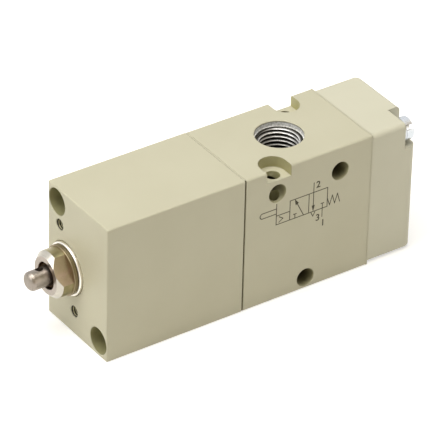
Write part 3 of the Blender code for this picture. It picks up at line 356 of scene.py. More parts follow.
def paint_material(name, light, dark):
    """Smooth stove enamel: slight clouding, fine orange peel, thinner and lighter on edges."""
    material, place = new_material(name, 0.42)
    clouds = tones(noise(place, PAINT_CLOUD_SCALE, 3.0), (dark, light), 0.3, 0.7)
    rounded = add_node(place.id_data, "Bevel", {"Radius": PAINT_EDGE}, samples=6).outputs["Normal"]
    straight = add_node(place.id_data, "NewGeometry").outputs["Normal"]
    edge = rise(measure("DOT_PRODUCT", rounded, straight), 0.995, 0.90)
    specks = rise(noise(place, PAINT_SPECK_SCALE, 4.0), 0.35, 0.7)
    thin = calc("MULTIPLY", calc("MULTIPLY", edge, specks), PAINT_WEAR)
    pale = tuple(min(1.0, channel * PAINT_WEAR_LIGHTER) for channel in light)
    colour = blend(thin, clouds, (*pale, 1.0))
    gloss = spread(noise(place, PAINT_GLOSS_SCALE, 3.0), 0.36, 0.5)
    peel = bump(noise(place, PAINT_PEEL_SCALE), PAINT_PEEL, 0.35, rounded)
    return dress(material, colour, gloss, peel)


def deep_hole_painted_shade(name, mouth, deep):
    """Paint in a hole along Y, darkened away from the mouths as painted shade."""
    material, place = new_material(name, 0.5)
    from_middle = calc("ABSOLUTE", part_of(place, "Y"))
    inward = rise(from_middle, HALF_WIDTH, HALF_WIDTH - HOLE_SHADE_REACH)
    clouds = spread(noise(place, HOLE_CLOUD_SCALE, 3.0), -0.1, 0.1)
    share = calc("ADD", inward, clouds, clamp=True)
    return dress(material, tones(share, (mouth, deep), 0.15, 1.0))


def turned_metal(name, colours, roughness, groove=METAL_GRAIN, ring_scale=LATHE_RING_SCALE):
    """Lathe turned metal: colour drifts between tones, with fine rings from the tool."""
    material, place = new_material(name, roughness, 1.0)
    rings = noise(turning_place(place), ring_scale)
    colour = tones(noise(place, METAL_DRIFT_SCALE, 4.0, 0.6), colours, 0.3, 0.7)
    gloss = spread(rings, roughness * 0.75, roughness * 1.25)
    return dress(material, colour, gloss, bump(rings, groove, 0.6))


def plain_metal(name, colours, roughness):
    """Metal with no turning marks: fine grain and drifting colour."""
    material, place = new_material(name, roughness, 1.0)
    colour = tones(noise(place, METAL_CLOUD_SCALE, 4.0), colours)
    grain = noise(place, METAL_GRAIN_SCALE, 3.0)
    gloss = spread(grain, roughness * 0.8, roughness * 1.3)
    return dress(material, colour, gloss, bump(grain, METAL_GRAIN))


def thread_metal(name, crest_radius, root_radius, crest):
    """Cut thread in painted light and shade: bright at the crests, dimmer down the flanks, darkest in the
    roots, and dimmer deeper in.
    """
    material, place = new_material(name, 0.36, 0.6, 0.15)
    radius = part_of(turning_place(place), "X")
    flank = tuple(THREAD_FLANK_DIMMING * channel for channel in crest)
    # Painted light and shade across the thread: bright crests, dimmed flanks, dark roots.
    stops = [(0.06, crest), (0.32, flank), (0.62, THREAD_ROOT_SHADE)]
    bright = ramp(rise(radius, crest_radius, root_radius), stops)
    # Painted shade, dimmer deeper in the hole.
    inward = rise(part_of(place, "Z"), THREAD_SHADE_START, THREAD_SHADE_END)
    dim = tones(inward, (WHITE, THREAD_SHADE), 0.0, 1.0)
    gloss = spread(noise(place, THREAD_SCRATCH_SCALE), 0.3, 0.44)
    return dress(material, blend(1.0, bright, dim, "MULTIPLY"), gloss)


def port_mouth_metal(name, colours, dirt_and_shade):
    """Machined wall of a port: bright specks, and darker near the outer face with paint and oil grime and
    painted shade.
    """
    material, place = new_material(name, 0.42, 0.1)
    specks = noise(place, PORT_SPECK_SCALE, 4.0)
    from_middle = calc("ABSOLUTE", part_of(place, "Z"))
    # Near the outer face: paint and oil grime, and painted shade under the rim.
    near_face = rise(from_middle, HEIGHT / 2 - DIRT_AND_SHADE_REACH, HEIGHT / 2 - RIM)
    patches = spread(noise(place, PORT_DIRT_AND_SHADE_SCALE, 3.0), 0.4, 1.6)
    share = calc("MULTIPLY", near_face, patches, clamp=True)
    colour = blend(share, tones(specks, colours, 0.35, 0.6), (*dirt_and_shade, 1.0))
    return dress(material, colour, spread(specks, 0.34, 0.55), bump(specks, METAL_GRAIN))


def soft_material(name, light, dark, roughness, grain_scale, depth, shine=0.5):
    """Rubber, fibre or plastic: two close tones and a fine grain."""
    material, place = new_material(name, roughness, 0.0, shine)
    grain = noise(place, grain_scale, 4.0)
    gloss = spread(grain, roughness * 0.9, roughness * 1.1)
    return dress(material, tones(grain, (dark, light)), gloss, bump(grain, depth))


PAINT = paint_material("beige_paint", (0.61, 0.575, 0.41), (0.585, 0.55, 0.387))
COVER_PAINT = paint_material("cover_paint", (0.69, 0.66, 0.50), (0.665, 0.635, 0.475))
# Painted shade: a darker paint inside the counterbores and the near upright hole.
HOLE_PAINTED_SHADE = paint_material("hole_paint", (0.41, 0.385, 0.20), (0.37, 0.345, 0.175))
# Painted shade: the cross holes' paint darkens deeper in.
CROSS_HOLE_PAINTED_SHADE = deep_hole_painted_shade("cross_hole_painted_shade", (0.44, 0.41, 0.24), (0.075, 0.062, 0.024))
# Painted shade on the pocket walls, near and far, and in the far upright hole.
NEAR_POCKET_PAINTED_SHADE = paint_material("near_pocket_painted_shade", (0.41, 0.38, 0.19), (0.38, 0.35, 0.175))
FAR_POCKET_PAINTED_SHADE = paint_material("far_pocket_painted_shade", (0.51, 0.475, 0.22), (0.48, 0.445, 0.205))
FAR_HOLE_PAINTED_SHADE = paint_material("far_hole_painted_shade", (0.16, 0.14, 0.06), (0.13, 0.11, 0.045))
YELLOW_ZINC = turned_metal(
    "yellow_zinc_steel", [(0.46, 0.385, 0.28), (0.50, 0.40, 0.30), (0.56, 0.43, 0.37)], 0.30
)
# Copies of the yellow zinc for regions of the guide: painted shade on the front face, a painted highlight on
# the chamfer, a painted reflection of the beige paint on the round, painted shade on the collar.
ZINC_FACE_PAINTED_SHADE = turned_metal(
    "yellow_zinc_face_painted_shade", [(0.34, 0.30, 0.255), (0.375, 0.33, 0.285), (0.42, 0.36, 0.315)], 0.30
)
ZINC_CHAMFER_PAINTED_HIGHLIGHT = turned_metal(
    "yellow_zinc_chamfer_painted_highlight", [(0.50, 0.47, 0.41), (0.55, 0.52, 0.45), (0.60, 0.56, 0.49)], 0.30
)
ZINC_PAINTED_REFLECTION = turned_metal(
    "yellow_zinc_painted_reflection", [(0.39, 0.35, 0.205), (0.43, 0.38, 0.23), (0.47, 0.41, 0.265)], 0.32
)
SHADED_ZINC = turned_metal("yellow_zinc_in_shade", [(0.25, 0.21, 0.12), (0.31, 0.25, 0.17)], 0.34)
WASHER_METAL = turned_metal("guide_washer_zinc", [(0.84, 0.81, 0.74), (0.92, 0.89, 0.83)], 0.36)
SHADED_SILVER = turned_metal("silver_zinc_in_shade", [(0.20, 0.22, 0.24), (0.32, 0.34, 0.36)], 0.35)
SILVER_ZINC = turned_metal("silver_zinc_steel", [(0.62, 0.66, 0.70), (0.72, 0.75, 0.78)], 0.28)
GROUND_STEEL = turned_metal(
    "ground_steel", [(0.27, 0.24, 0.20), (0.37, 0.32, 0.28)], 0.36, FINE_RING, FINE_RING_SCALE
)
# Its last colour is grime and painted shade at the ports' rims.
BARE_METAL = port_mouth_metal(
    "machined_port_metal", [(0.66, 0.65, 0.60), (0.98, 0.97, 0.93)], (0.16, 0.14, 0.085)
)
PORT_THREAD = thread_metal("port_thread", PORT_RADIUS - PORT_THREAD_DEPTH, PORT_RADIUS, (0.86, 0.85, 0.82))
# The head holes' thread is paint olive at its crests, made dark as painted shade in the small holes.
HEAD_THREAD = thread_metal(
    "head_hole_thread", HEAD_HOLE_RADIUS - HEAD_THREAD_DEPTH, HEAD_HOLE_RADIUS, (0.46, 0.42, 0.25)
)
SPRING_STEEL = plain_metal("spring_steel", [(0.40, 0.40, 0.41), (0.50, 0.50, 0.51)], 0.30)
NICKEL = plain_metal("nickel_plated_aluminium", [(0.66, 0.65, 0.61), (0.74, 0.73, 0.69)], 0.22)
BRASS = plain_metal("turned_brass", [(0.66, 0.48, 0.20), (0.76, 0.58, 0.28)], 0.28)
RUBBER = soft_material(
    "black_rubber", (0.058, 0.032, 0.010), (0.032, 0.017, 0.005), 0.6, 3000.0, 0.02 * MM, 0.05
)
FIBRE = soft_material(
    "gasket_fibre", (0.050, 0.040, 0.016), (0.028, 0.022, 0.009), 0.85, 1800.0, 0.05 * MM, 0.1
)
ACETAL = soft_material("white_acetal", (0.78, 0.77, 0.72), (0.72, 0.71, 0.66), 0.38, 900.0, 0.01 * MM)
INK = soft_material(
    "printing_ink", (0.115, 0.100, 0.062), (0.085, 0.074, 0.045), 0.6, 2500.0, 0.005 * MM, 0.3
)

# These finishes are named as the record's slots are
SLOT_FINISH = {
    finish.name.split(".")[0]: finish
    for finish in (
        PAINT, YELLOW_ZINC, SILVER_ZINC, GROUND_STEEL, SPRING_STEEL, NICKEL, BRASS, RUBBER, FIBRE, ACETAL,
    )
}


# Shapes

def mesh_of(bm, name):
    mesh = bpy.data.meshes.new(name)
    bm.to_mesh(mesh)
    bm.free()
    return mesh


def link_object(name, data, material=None):
    item = bpy.data.objects.new(name, data)
    bpy.context.scene.collection.objects.link(item)
    if material:
        data.materials.append(material)
    return item


def evaluated_mesh(item):
    return bpy.data.meshes.new_from_object(item.evaluated_get(bpy.context.evaluated_depsgraph_get()))


def apply_modifiers(item):
    item.data = evaluated_mesh(item)
    item.modifiers.clear()


def shade(mesh, sharp_angle):
    """Shades the mesh smooth between edges sharper than an angle in degrees."""
    mesh.shade_smooth()
    mesh.set_sharp_from_angle(angle=radians(sharp_angle))


def box_piece(name, low, high, material=None):
    low, high = Vector(low), Vector(high)
    bm = bmesh.new()
    bmesh.ops.create_cube(bm, size=1.0, matrix=Matrix.Diagonal((*(high - low), 1.0)))
    item = link_object(name, mesh_of(bm, name), material)
    item.location = (low + high) / 2
    return item


def round_edges(item, width_on, segments=EDGE_STEPS):
    """Rounds the edges of a box. width_on takes the side that an edge is on, such as (1, -1, 0)."""
    mesh = item.data
    widths = []
    for edge in mesh.edges:
        first, second = (mesh.vertices[index].co for index in edge.vertices)
        side = (round(copysign(1.0, a)) if a == b else 0 for a, b in zip(first, second))
        widths.append(width_on(*side))
    weights = mesh.attributes.new("bevel_weight_edge", "FLOAT", "EDGE")
    for share, width in zip(weights.data, widths):
        share.value = width / max(widths)
    bevel = item.modifiers.new("edges", "BEVEL")
    bevel.width = max(widths)
    bevel.segments = segments
    bevel.limit_method = "WEIGHT"


AXIS_TURN = {"X": (0.0, radians(90), 0.0), "Y": (radians(-90), 0.0, 0.0), "Z": (0.0, 0.0, 0.0)}


def turned(name, outline, spot, material=None, ring=False, segments=ROUND, axis="X"):
    """A turned shape. outline lists (place along the axis, radius) from the far end to the near end."""
    middle = (max(p[0] for p in outline) + min(p[0] for p in outline)) / 2
    bm = bmesh.new()
    points = [bm.verts.new((radius, 0.0, place - middle)) for place, radius in outline]
    for first, second in zip(points, points[1:]):
        bm.edges.new((first, second))
    if ring:
        bm.edges.new((points[-1], points[0]))
    item = link_object(name, mesh_of(bm, name), material)
    item.rotation_euler = AXIS_TURN[axis]
    location = list(spot)
    location.insert("XYZ".index(axis), middle)
    item.location = location
    screw = item.modifiers.new("turn", "SCREW")
    screw.axis = "Z"
    screw.steps = segments
    screw.render_steps = segments
    screw.use_merge_vertices = True
    screw.merge_threshold = WELD
    apply_modifiers(item)
    bm = bmesh.new()
    bm.from_mesh(item.data)
    bmesh.ops.recalc_face_normals(bm, faces=bm.faces)
    bm.to_mesh(item.data)
    bm.free()
    return item


def arc(centre, radius, start, end, steps=EDGE_STEPS):
    """Points of an arc round a centre; angles in degrees from the first axis."""
    angles = [radians(start + (end - start) * step / steps) for step in range(steps + 1)]
    return [(centre[0] + radius * cos(angle), centre[1] + radius * sin(angle)) for angle in angles]


def hole(radius, start, end, spot, rims=(), segments=SMALL, axis="X"):
    """A cutter for a round hole from start to end; rims lists the faces where its mouth is rounded."""
    low, high = sorted((start, end))
    wide = radius + RIM
    outline = [(high, radius)]
    if high in rims:
        outline = [(high + OVERRUN, wide)] + arc((high - RIM, wide), RIM, 0.0, -90.0)
    if low in rims:
        outline += arc((low + RIM, wide), RIM, -90.0, -180.0) + [(low - OVERRUN, wide)]
    else:
        outline.append((low, radius))
    outline = [(outline[0][0], 0.0), *outline, (outline[-1][0], 0.0)]
    return turned("hole", outline, spot, segments=segments, axis=axis)


def turn_about(item, spot, angle):
    """Turns a cutter about the X axis that it was made round, and moves that axis to a spot."""
    place = Matrix.Translation((0.0, *spot)) @ Matrix.Rotation(angle, 4, "X")
    item.matrix_world = place @ Matrix.Translation(item.location)
    bpy.context.view_layer.update()
    return item


def cut(item, cutters):
    """Takes the cutters out of the item and removes them."""
    for cutter in cutters:
        boolean = item.modifiers.new("cut", "BOOLEAN")
        boolean.operation = "DIFFERENCE"
        boolean.solver = "EXACT"
        boolean.object = cutter
    apply_modifiers(item)
    for cutter in cutters:
        bpy.data.objects.remove(cutter)


def mark(item, material, inside, *about):
    """Gives the faces whose middle is inside a region a material of their own."""
    place = Matrix.LocRotScale(item.location, item.rotation_euler, None)
    item.data.materials.append(material)
    for polygon in item.data.polygons:
        if inside(*(place @ polygon.center), *about):
            polygon.material_index = len(item.data.materials) - 1


def near(first, second, spots, reach):
    return any(hypot(first - spot[0], second - spot[1]) < reach for spot in spots)


def stand_for(item, slot, *nodes, body="housing"):
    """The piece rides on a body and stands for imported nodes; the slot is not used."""
    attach(item, body)
    if nodes:
        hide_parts(*nodes)


def finish_piece(item, slot, node, body="housing", sharp_angle=30.0):
    """Shades a piece, with its flat faces kept flat, and lets it stand for its node."""
    apply_modifiers(item)
    shade(item.data, sharp_angle)
    even = item.modifiers.new("even_shading", "WEIGHTED_NORMAL")
    even.keep_sharp = True
    apply_modifiers(item)
    stand_for(item, slot, node, body=body)


# Threads

def thread_height(along, turn, length, depth, pitch):
    """How far the thread stands in from its root; it fades out at both ends."""
    phase = (along / pitch - turn + THREAD_START) % 1.0
    wave = (1.0 - abs(2.0 * phase - 1.0) - THREAD_FLAT_SHARE) / (1.0 - 2 * THREAD_FLAT_SHARE)
    fade = min(1.0, THREAD_LEAD_IN * along / depth, (length - along) / depth)
    return depth * min(1.0, max(0.0, wave)) * fade


def ring_of_points(bm, along, radii):
    ring = []
    for column, radius in enumerate(radii):
        angle = tau * column / len(radii)
        ring.append(bm.verts.new((radius * cos(angle), radius * sin(angle), along)))
    return ring


def internal_thread(name, mouth, inward, length, root, depth, pitch, material, columns=ROUND):
    """A threaded sleeve from its mouth inward, whose root fits just inside the bore."""
    rows = round(length / pitch * THREAD_ROWS_PER_TURN)
    turns = [column / columns for column in range(columns)]
    bm = bmesh.new()
    rings = []
    for row in range(rows + 1):
        along = length * row / rows
        radii = [root - thread_height(along, turn, length, depth, pitch) for turn in turns]
        rings.append(ring_of_points(bm, along, radii))
    for along in (length, 0.0):
        rings.append(ring_of_points(bm, along, [root + THREAD_WALL] * columns))
    for first, second in zip(rings, rings[1:] + rings[:1]):
        for column in range(columns):
            bm.faces.new((first[column - 1], first[column], second[column], second[column - 1]))
    bmesh.ops.recalc_face_normals(bm, faces=bm.faces)
    item = link_object(name, mesh_of(bm, name), material)
    item.location = mouth
    item.rotation_euler = Vector(inward).to_track_quat("Z", "Y").to_euler()
    shade(item.data, 40.0)
    stand_for(item, "silver_zinc_steel")


# Plunger block

HEAD_HOLE_SPOTS = arc(PLUNGER_SPOT, HEAD_HOLE_CIRCLE, HEAD_HOLE_ANGLE, HEAD_HOLE_ANGLE + 180.0, 1)


def block_cutters():
    """From the guide's seat and the bores behind it to the small threaded holes."""
    back = BLOCK_HIGH.x
    pilot_start = PILOT_SEAT_FRONT - FACE_GAP
    piston_start = PISTON_FRONT - SEAT_GAP
    rims = (FACE_X,)
    cutters = [
        hole(GUIDE_SEAT_RADIUS, FACE_X, WASHER_HIGH.x + FACE_GAP, PLUNGER_SPOT, rims, FINE),
        hole(GUIDE_BORE_RADIUS, FACE_X - OVERRUN, GUIDE_HIGH.x + SEAT_GAP, PLUNGER_SPOT),
        hole(CHAMBER_RADIUS, FACE_X, pilot_start + OVERRUN, PLUNGER_SPOT),
        hole(PILOT_BORE_RADIUS, pilot_start, piston_start + OVERRUN, PLUNGER_SPOT),
        hole(PISTON_BORE_RADIUS, piston_start, back + OVERRUN, SPOOL_SPOT, (), ROUND),
    ]
    for spot in BLOCK_SCREW_SPOTS:
        cutters.append(hole(COUNTERBORE_RADIUS, FACE_X, FACE_X + COUNTERBORE_DEPTH, spot, rims, ROUND))
        cutters.append(hole(SCREW_HOLE_RADIUS, FACE_X, back + OVERRUN, spot))
    floor = FACE_X + HEAD_HOLE_DEPTH
    return cutters + [hole(HEAD_HOLE_RADIUS, FACE_X, floor, spot, rims) for spot in HEAD_HOLE_SPOTS]


def in_counterbore(x, y, z):
    return x > FACE_X + RIM and near(y, z, BLOCK_SCREW_SPOTS, COUNTERBORE_RADIUS + WALL_SLACK)


def build_plunger_block():
    item = box_piece("plunger_block_painted", BLOCK_LOW, BLOCK_HIGH, PAINT)
    round_edges(item, lambda x, y, z: JOINT_EDGE if x > 0 else BLOCK_EDGE)
    cut(item, block_cutters())
    # Painted shade inside the counterbores.
    mark(item, HOLE_PAINTED_SHADE, in_counterbore)
    finish_piece(item, "beige_paint", "plunger_block")
    for number, (y, z) in enumerate(HEAD_HOLE_SPOTS, 1):
        internal_thread(
            f"head_hole_thread_{number}", (FACE_X + RIM, y, z), (1.0, 0.0, 0.0), HEAD_HOLE_DEPTH - RIM,
            HEAD_HOLE_RADIUS - HEAD_THREAD_CLEARANCE, HEAD_THREAD_DEPTH, HEAD_THREAD_PITCH, HEAD_THREAD,
            HEAD_THREAD_COLUMNS,
        )


# Valve body

PORTS = {
    "outlet": (MIDDLE_X, HEIGHT, -1.0),
    "exhaust": (MIDDLE_X - PORT_PITCH, 0.0, 1.0),
    "supply": (MIDDLE_X + PORT_PITCH, 0.0, 1.0),
}
CROSS_HOLES = [
    (MIDDLE_X - CROSS_HOLE_SPREAD, HEIGHT - CROSS_HOLE_FROM_TOP),
    (MIDDLE_X + CROSS_HOLE_SPREAD, HEIGHT - CROSS_HOLE_FROM_TOP),
    (MIDDLE_X, CROSS_HOLE_FROM_BASE),
]

# The near and the far hand, with the painted shade in the upright hole and in the pocket
HANDS = {-1.0: (HOLE_PAINTED_SHADE, NEAR_POCKET_PAINTED_SHADE), 1.0: (FAR_HOLE_PAINTED_SHADE, FAR_POCKET_PAINTED_SHADE)}


def pocket_spot(hand):
    return MIDDLE_X + hand * POCKET_SPREAD, hand * (HALF_WIDTH - POCKET_FROM_SIDE)


def pocket_cutter(hand):
    """A pocket open to the side, with the upright hole from its floor to the base."""
    x, y = pocket_spot(hand)
    floor, top = HEIGHT - POCKET_DEPTH, HEIGHT + OVERRUN
    wide = POCKET_HOLE_RADIUS + RIM
    outline = [
        (top, 0.0), (top, POCKET_RADIUS), (floor, POCKET_RADIUS), *arc((floor - RIM, wide), RIM, 0.0, -90.0),
        *arc((RIM, wide), RIM, -90.0, -180.0), (-OVERRUN, wide), (-OVERRUN, 0.0),
    ]
    pocket = turned("pocket", outline, (x, y), axis="Z")
    low_y, high_y = sorted((y, hand * (HALF_WIDTH + OVERRUN)))
    mouth = box_piece("pocket_mouth", (x - POCKET_RADIUS, low_y, floor), (x + POCKET_RADIUS, high_y, top))
    union = pocket.modifiers.new("join", "BOOLEAN")
    union.operation = "UNION"
    union.object = mouth
    apply_modifiers(pocket)
    bpy.data.objects.remove(mouth)
    return pocket


def body_cutters():
    """From the spool's bore to the holes that the screws go into."""
    front, back = BODY_LOW.x - OVERRUN, BODY_HIGH.x + OVERRUN
    cutters = [
        hole(SPOOL_BORE_RADIUS, front, back, SPOOL_SPOT, (), ROUND),
        hole(FLANGE_RECESS_RADIUS, front, BODY_LOW.x + FLANGE_RECESS_DEPTH, SPOOL_SPOT, (), ROUND),
        hole(FLANGE_RECESS_RADIUS, BODY_HIGH.x - FLANGE_RECESS_DEPTH, back, SPOOL_SPOT, (), ROUND),
    ]
    for x, face_z, inward in PORTS.values():
        mouth_floor = face_z + inward * PORT_MOUTH_DEPTH
        floor = face_z + inward * PORT_DEPTH
        cutters.append(hole(PORT_MOUTH_RADIUS, face_z, mouth_floor, (x, 0.0), (face_z,), FINE, "Z"))
        cutters.append(hole(PORT_RADIUS, face_z, floor, (x, 0.0), (), FINE, "Z"))
        cutters.append(hole(PORT_PASSAGE_RADIUS, face_z, SPOOL_Z, (x, 0.0), axis="Z"))
    sides = (-HALF_WIDTH, HALF_WIDTH)
    cutters += [hole(CROSS_HOLE_RADIUS, *sides, spot, sides, ROUND, "Y") for spot in CROSS_HOLES]
    cutters += [pocket_cutter(hand) for hand in HANDS]
    block_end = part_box("block_screw_1")[1].x + SEAT_GAP
    cover_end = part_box("cover_screw_1")[0].x - SEAT_GAP
    cutters += [hole(SCREW_HOLE_RADIUS, front, block_end, spot) for spot in BLOCK_SCREW_SPOTS]
    cutters += [hole(SCREW_HOLE_RADIUS, cover_end, back, spot) for spot in COVER_SCREW_SPOTS]
    return cutters


def in_port(x, y, z):
    """The walls of the ports are machined after painting, so they show bare metal."""
    return any(
        near(x, y, [(port_x, 0.0)], PORT_MOUTH_RADIUS + WALL_SLACK)
        and RIM < (z - face_z) * inward < PORT_DEPTH + RIM
        for port_x, face_z, inward in PORTS.values()
    )


def in_cross_hole(x, y, z):
    return abs(y) < HALF_WIDTH - RIM / 3 and near(x, z, CROSS_HOLES, CROSS_HOLE_RADIUS + RIM)


def in_upright_hole(x, y, z, hand):
    return z > RIM and near(x, y, [pocket_spot(hand)], POCKET_HOLE_RADIUS + WALL_SLACK)


def on_pocket_wall(x, y, z, hand):
    hole_x, hole_y = pocket_spot(hand)
    in_plan = max(abs(x - hole_x), abs(y - hole_y)) < POCKET_RADIUS + WALL_SLACK
    return in_plan and HEIGHT - POCKET_DEPTH + WALL_SLACK < z < HEIGHT - WALL_SLACK


def build_valve_body():
    item = box_piece("valve_body_painted", BODY_LOW, BODY_HIGH, PAINT)
    round_edges(item, lambda x, y, z: JOINT_EDGE if x else BODY_EDGE)
    cut(item, body_cutters())
    # Painted shade in the cross holes, darker deeper in.
    mark(item, CROSS_HOLE_PAINTED_SHADE, in_cross_hole)
    # Painted shade in the upright holes and on the pocket walls.
    for hand, (hole_paint, pocket_painted_shade) in HANDS.items():
        mark(item, hole_paint, in_upright_hole, hand)
        mark(item, pocket_painted_shade, on_pocket_wall, hand)
    mark(item, BARE_METAL, in_port)
    finish_piece(item, "beige_paint", "valve_body")
    for name, (x, face_z, inward) in PORTS.items():
        internal_thread(
            f"{name}_port_thread", (x, 0.0, face_z + inward * PORT_MOUTH_DEPTH), (0.0, 0.0, inward),
            PORT_DEPTH - PORT_MOUTH_DEPTH, PORT_RADIUS - PORT_THREAD_CLEARANCE, PORT_THREAD_DEPTH,
            PORT_THREAD_PITCH, PORT_THREAD,
        )


# End cover

def cover_edge(x, y, z):
    if x < 0:
        return COVER_FRONT_EDGE
    return COVER_BACK_EDGE if x > 0 and z == 0 else COVER_EDGE


def notch_cutter(number, spot):
    """A notch at a corner of the cover, from the screw's washer to the back."""
    low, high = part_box(f"cover_screw_washer_{number}")
    y, z = spot[0], spot[1] - SPOOL_Z
    inner_y = abs(y) - (high.y - low.y) / 2 - NOTCH_SIDE_MARGIN
    inner_z = abs(z) - (high.z - low.z) / 2 - NOTCH_HEIGHT_MARGIN
    hand_y, hand_z = copysign(1.0, y), copysign(1.0, z)
    ys = sorted((hand_y * inner_y, hand_y * (HALF_WIDTH + OVERRUN)))
    zs = sorted((SPOOL_Z + hand_z * inner_z, SPOOL_Z + hand_z * (HEIGHT / 2 + OVERRUN)))
    return box_piece("notch", (low.x - FACE_GAP, ys[0], zs[0]), (COVER_HIGH.x + OVERRUN, ys[1], zs[1]))


def build_end_cover():
    item = box_piece("end_cover_painted", COVER_LOW, COVER_HIGH, COVER_PAINT)
    round_edges(item, cover_edge, COVER_EDGE_STEPS)
    front, back = COVER_LOW.x - OVERRUN, COVER_HIGH.x
    cutters = [hole(SPRING_BORE_RADIUS, front, back - COVER_FLOOR, SPOOL_SPOT)]
    cutters += [hole(SCREW_HOLE_RADIUS, front, back, spot) for spot in COVER_SCREW_SPOTS]
    cutters += [notch_cutter(number, spot) for number, spot in enumerate(COVER_SCREW_SPOTS, 1)]
    cut(item, cutters)
    finish_piece(item, "beige_paint", "end_cover")


# Gaskets

def build_gasket(node, low_x, high_x, screw_spots, side_inset, side_material):
    """A gasket whose top edge is painted over with the blocks; its sides may lie deeper and bare."""
    half = HALF_WIDTH - side_inset
    low = (low_x + GASKET_CRACK, -half, PAINTED_INSET)
    high = (high_x - GASKET_CRACK, half, HEIGHT - PAINTED_INSET)
    item = box_piece(f"{node}_edge", low, high, PAINT)
    start, end = low_x - OVERRUN, high_x + OVERRUN
    cutters = [hole(FLANGE_RECESS_RADIUS, start, end, SPOOL_SPOT)]
    cutters += [hole(SCREW_HOLE_RADIUS, start, end, spot) for spot in screw_spots]
    cut(item, cutters)
    item.data.materials.append(side_material)
    for polygon in item.data.polygons:
        polygon.material_index = 0 if polygon.normal.z > GASKET_TOP_FACING else 1
    finish_piece(item, "gasket_fibre", node)


# Plunger guide, washer and wiper

COLLAR_BACK = WASHER_LOW.x - FACE_GAP
COLLAR_FRONT = COLLAR_BACK - GUIDE_COLLAR_LENGTH

# A material, the radius that its faces lie outside, and where they start and end along X. The materials are
# painted light and shade on the yellow zinc: a reflection of the paint on the round, shade on the collar and
# the front face, a highlight on the chamfer.
GUIDE_REGIONS = [
    (ZINC_PAINTED_REFLECTION, GUIDE_HEAD_RADIUS - WALL_SLACK / 2, GUIDE_LOW.x, WASHER_LOW.x),
    (SHADED_ZINC, WIPER_RECESS_RADIUS + WALL_SLACK, COLLAR_FRONT - FACE_SLACK, WASHER_LOW.x),
    (ZINC_FACE_PAINTED_SHADE, WIPER_RECESS_RADIUS, GUIDE_LOW.x - WALL_SLACK, GUIDE_LOW.x + WALL_SLACK),
    (
        ZINC_CHAMFER_PAINTED_HIGHLIGHT, GUIDE_HEAD_RADIUS - GUIDE_CHAMFER_DEPTH,
        GUIDE_LOW.x + WALL_SLACK, GUIDE_LOW.x + GUIDE_CHAMFER_LENGTH,
    ),
]


def on_guide(x, y, z, inner_radius, start, end):
    return start < x < end and not near(y, z, [PLUNGER_SPOT], inner_radius)


def guide_outline():
    front, back = GUIDE_LOW.x, GUIDE_HIGH.x
    step = FACE_X + GUIDE_STEP
    recess_floor = front + WIPER_RECESS_DEPTH
    return [
        (back, GUIDE_STEM_RADIUS), (COLLAR_BACK, GUIDE_STEM_RADIUS),
        (COLLAR_BACK, GUIDE_COLLAR_RADIUS - FINE_EDGE), (COLLAR_BACK - FINE_EDGE, GUIDE_COLLAR_RADIUS),
        (COLLAR_FRONT + FINE_EDGE, GUIDE_COLLAR_RADIUS), (COLLAR_FRONT, GUIDE_COLLAR_RADIUS - FINE_EDGE),
        (COLLAR_FRONT, GUIDE_HEAD_RADIUS), (front + GUIDE_CHAMFER_LENGTH, GUIDE_HEAD_RADIUS),
        (front, GUIDE_HEAD_RADIUS - GUIDE_CHAMFER_DEPTH), (front, WIPER_RECESS_RADIUS + FINE_EDGE),
        (front + FINE_EDGE, WIPER_RECESS_RADIUS), (recess_floor, WIPER_RECESS_RADIUS),
        (recess_floor, PLUNGER_BORE), (step, PLUNGER_BORE), (step, CHAMBER_RADIUS), (back, CHAMBER_RADIUS),
    ]


def build_guide():
    item = turned("plunger_guide_nut", guide_outline(), PLUNGER_SPOT, YELLOW_ZINC, True, FINE)
    flats = []
    for turn in (0.0, pi):
        flat = box_piece(
            "flat",
            (GUIDE_LOW.x - OVERRUN, GUIDE_HEAD_RADIUS - GUIDE_FLAT_DEPTH, -GUIDE_COLLAR_RADIUS),
            (COLLAR_FRONT, GUIDE_HEAD_RADIUS + OVERRUN, GUIDE_COLLAR_RADIUS),
        )
        flats.append(turn_about(flat, PLUNGER_SPOT, GUIDE_FLAT_ANGLE + turn))
    cut(item, flats)
    for material, *region in GUIDE_REGIONS:
        mark(item, material, on_guide, *region)
    finish_piece(item, "yellow_zinc_steel", "plunger_guide")


def build_washer():
    radius = (WASHER_HIGH.z - WASHER_LOW.z) / 2
    front, back = WASHER_LOW.x, WASHER_HIGH.x
    edge = WASHER_EDGE
    outline = [
        (back, GUIDE_BORE_RADIUS + edge), (back, radius - edge / 2), (back - edge / 2, radius),
        *arc((front + edge, radius - edge), edge, 90.0, 180.0, WASHER_EDGE_STEPS),
        (front, GUIDE_BORE_RADIUS), (back - edge, GUIDE_BORE_RADIUS),
    ]
    item = turned("guide_washer_ring", outline, PLUNGER_SPOT, WASHER_METAL, True, FINE)
    finish_piece(item, "silver_zinc_steel", "guide_washer")


def build_wiper():
    outer = WIPER_RECESS_RADIUS - FACE_GAP
    front, back = WIPER_LOW.x, WIPER_HIGH.x
    third = (back - front) / 3
    outline = [
        (back, PLUNGER_BORE + third), (back, outer), (front + 2 * third, outer),
        (front + third, outer - third / 2), (front + third, PLUNGER_BORE + 1.6 * third),
        (front, PLUNGER_BORE + third), (front, PLUNGER_BORE), (back - third, PLUNGER_BORE),
    ]
    item = turned("wiper_lip_ring", outline, PLUNGER_SPOT, RUBBER, True)
    finish_piece(item, "black_rubber", "wiper_ring", sharp_angle=50.0)


# Plunger

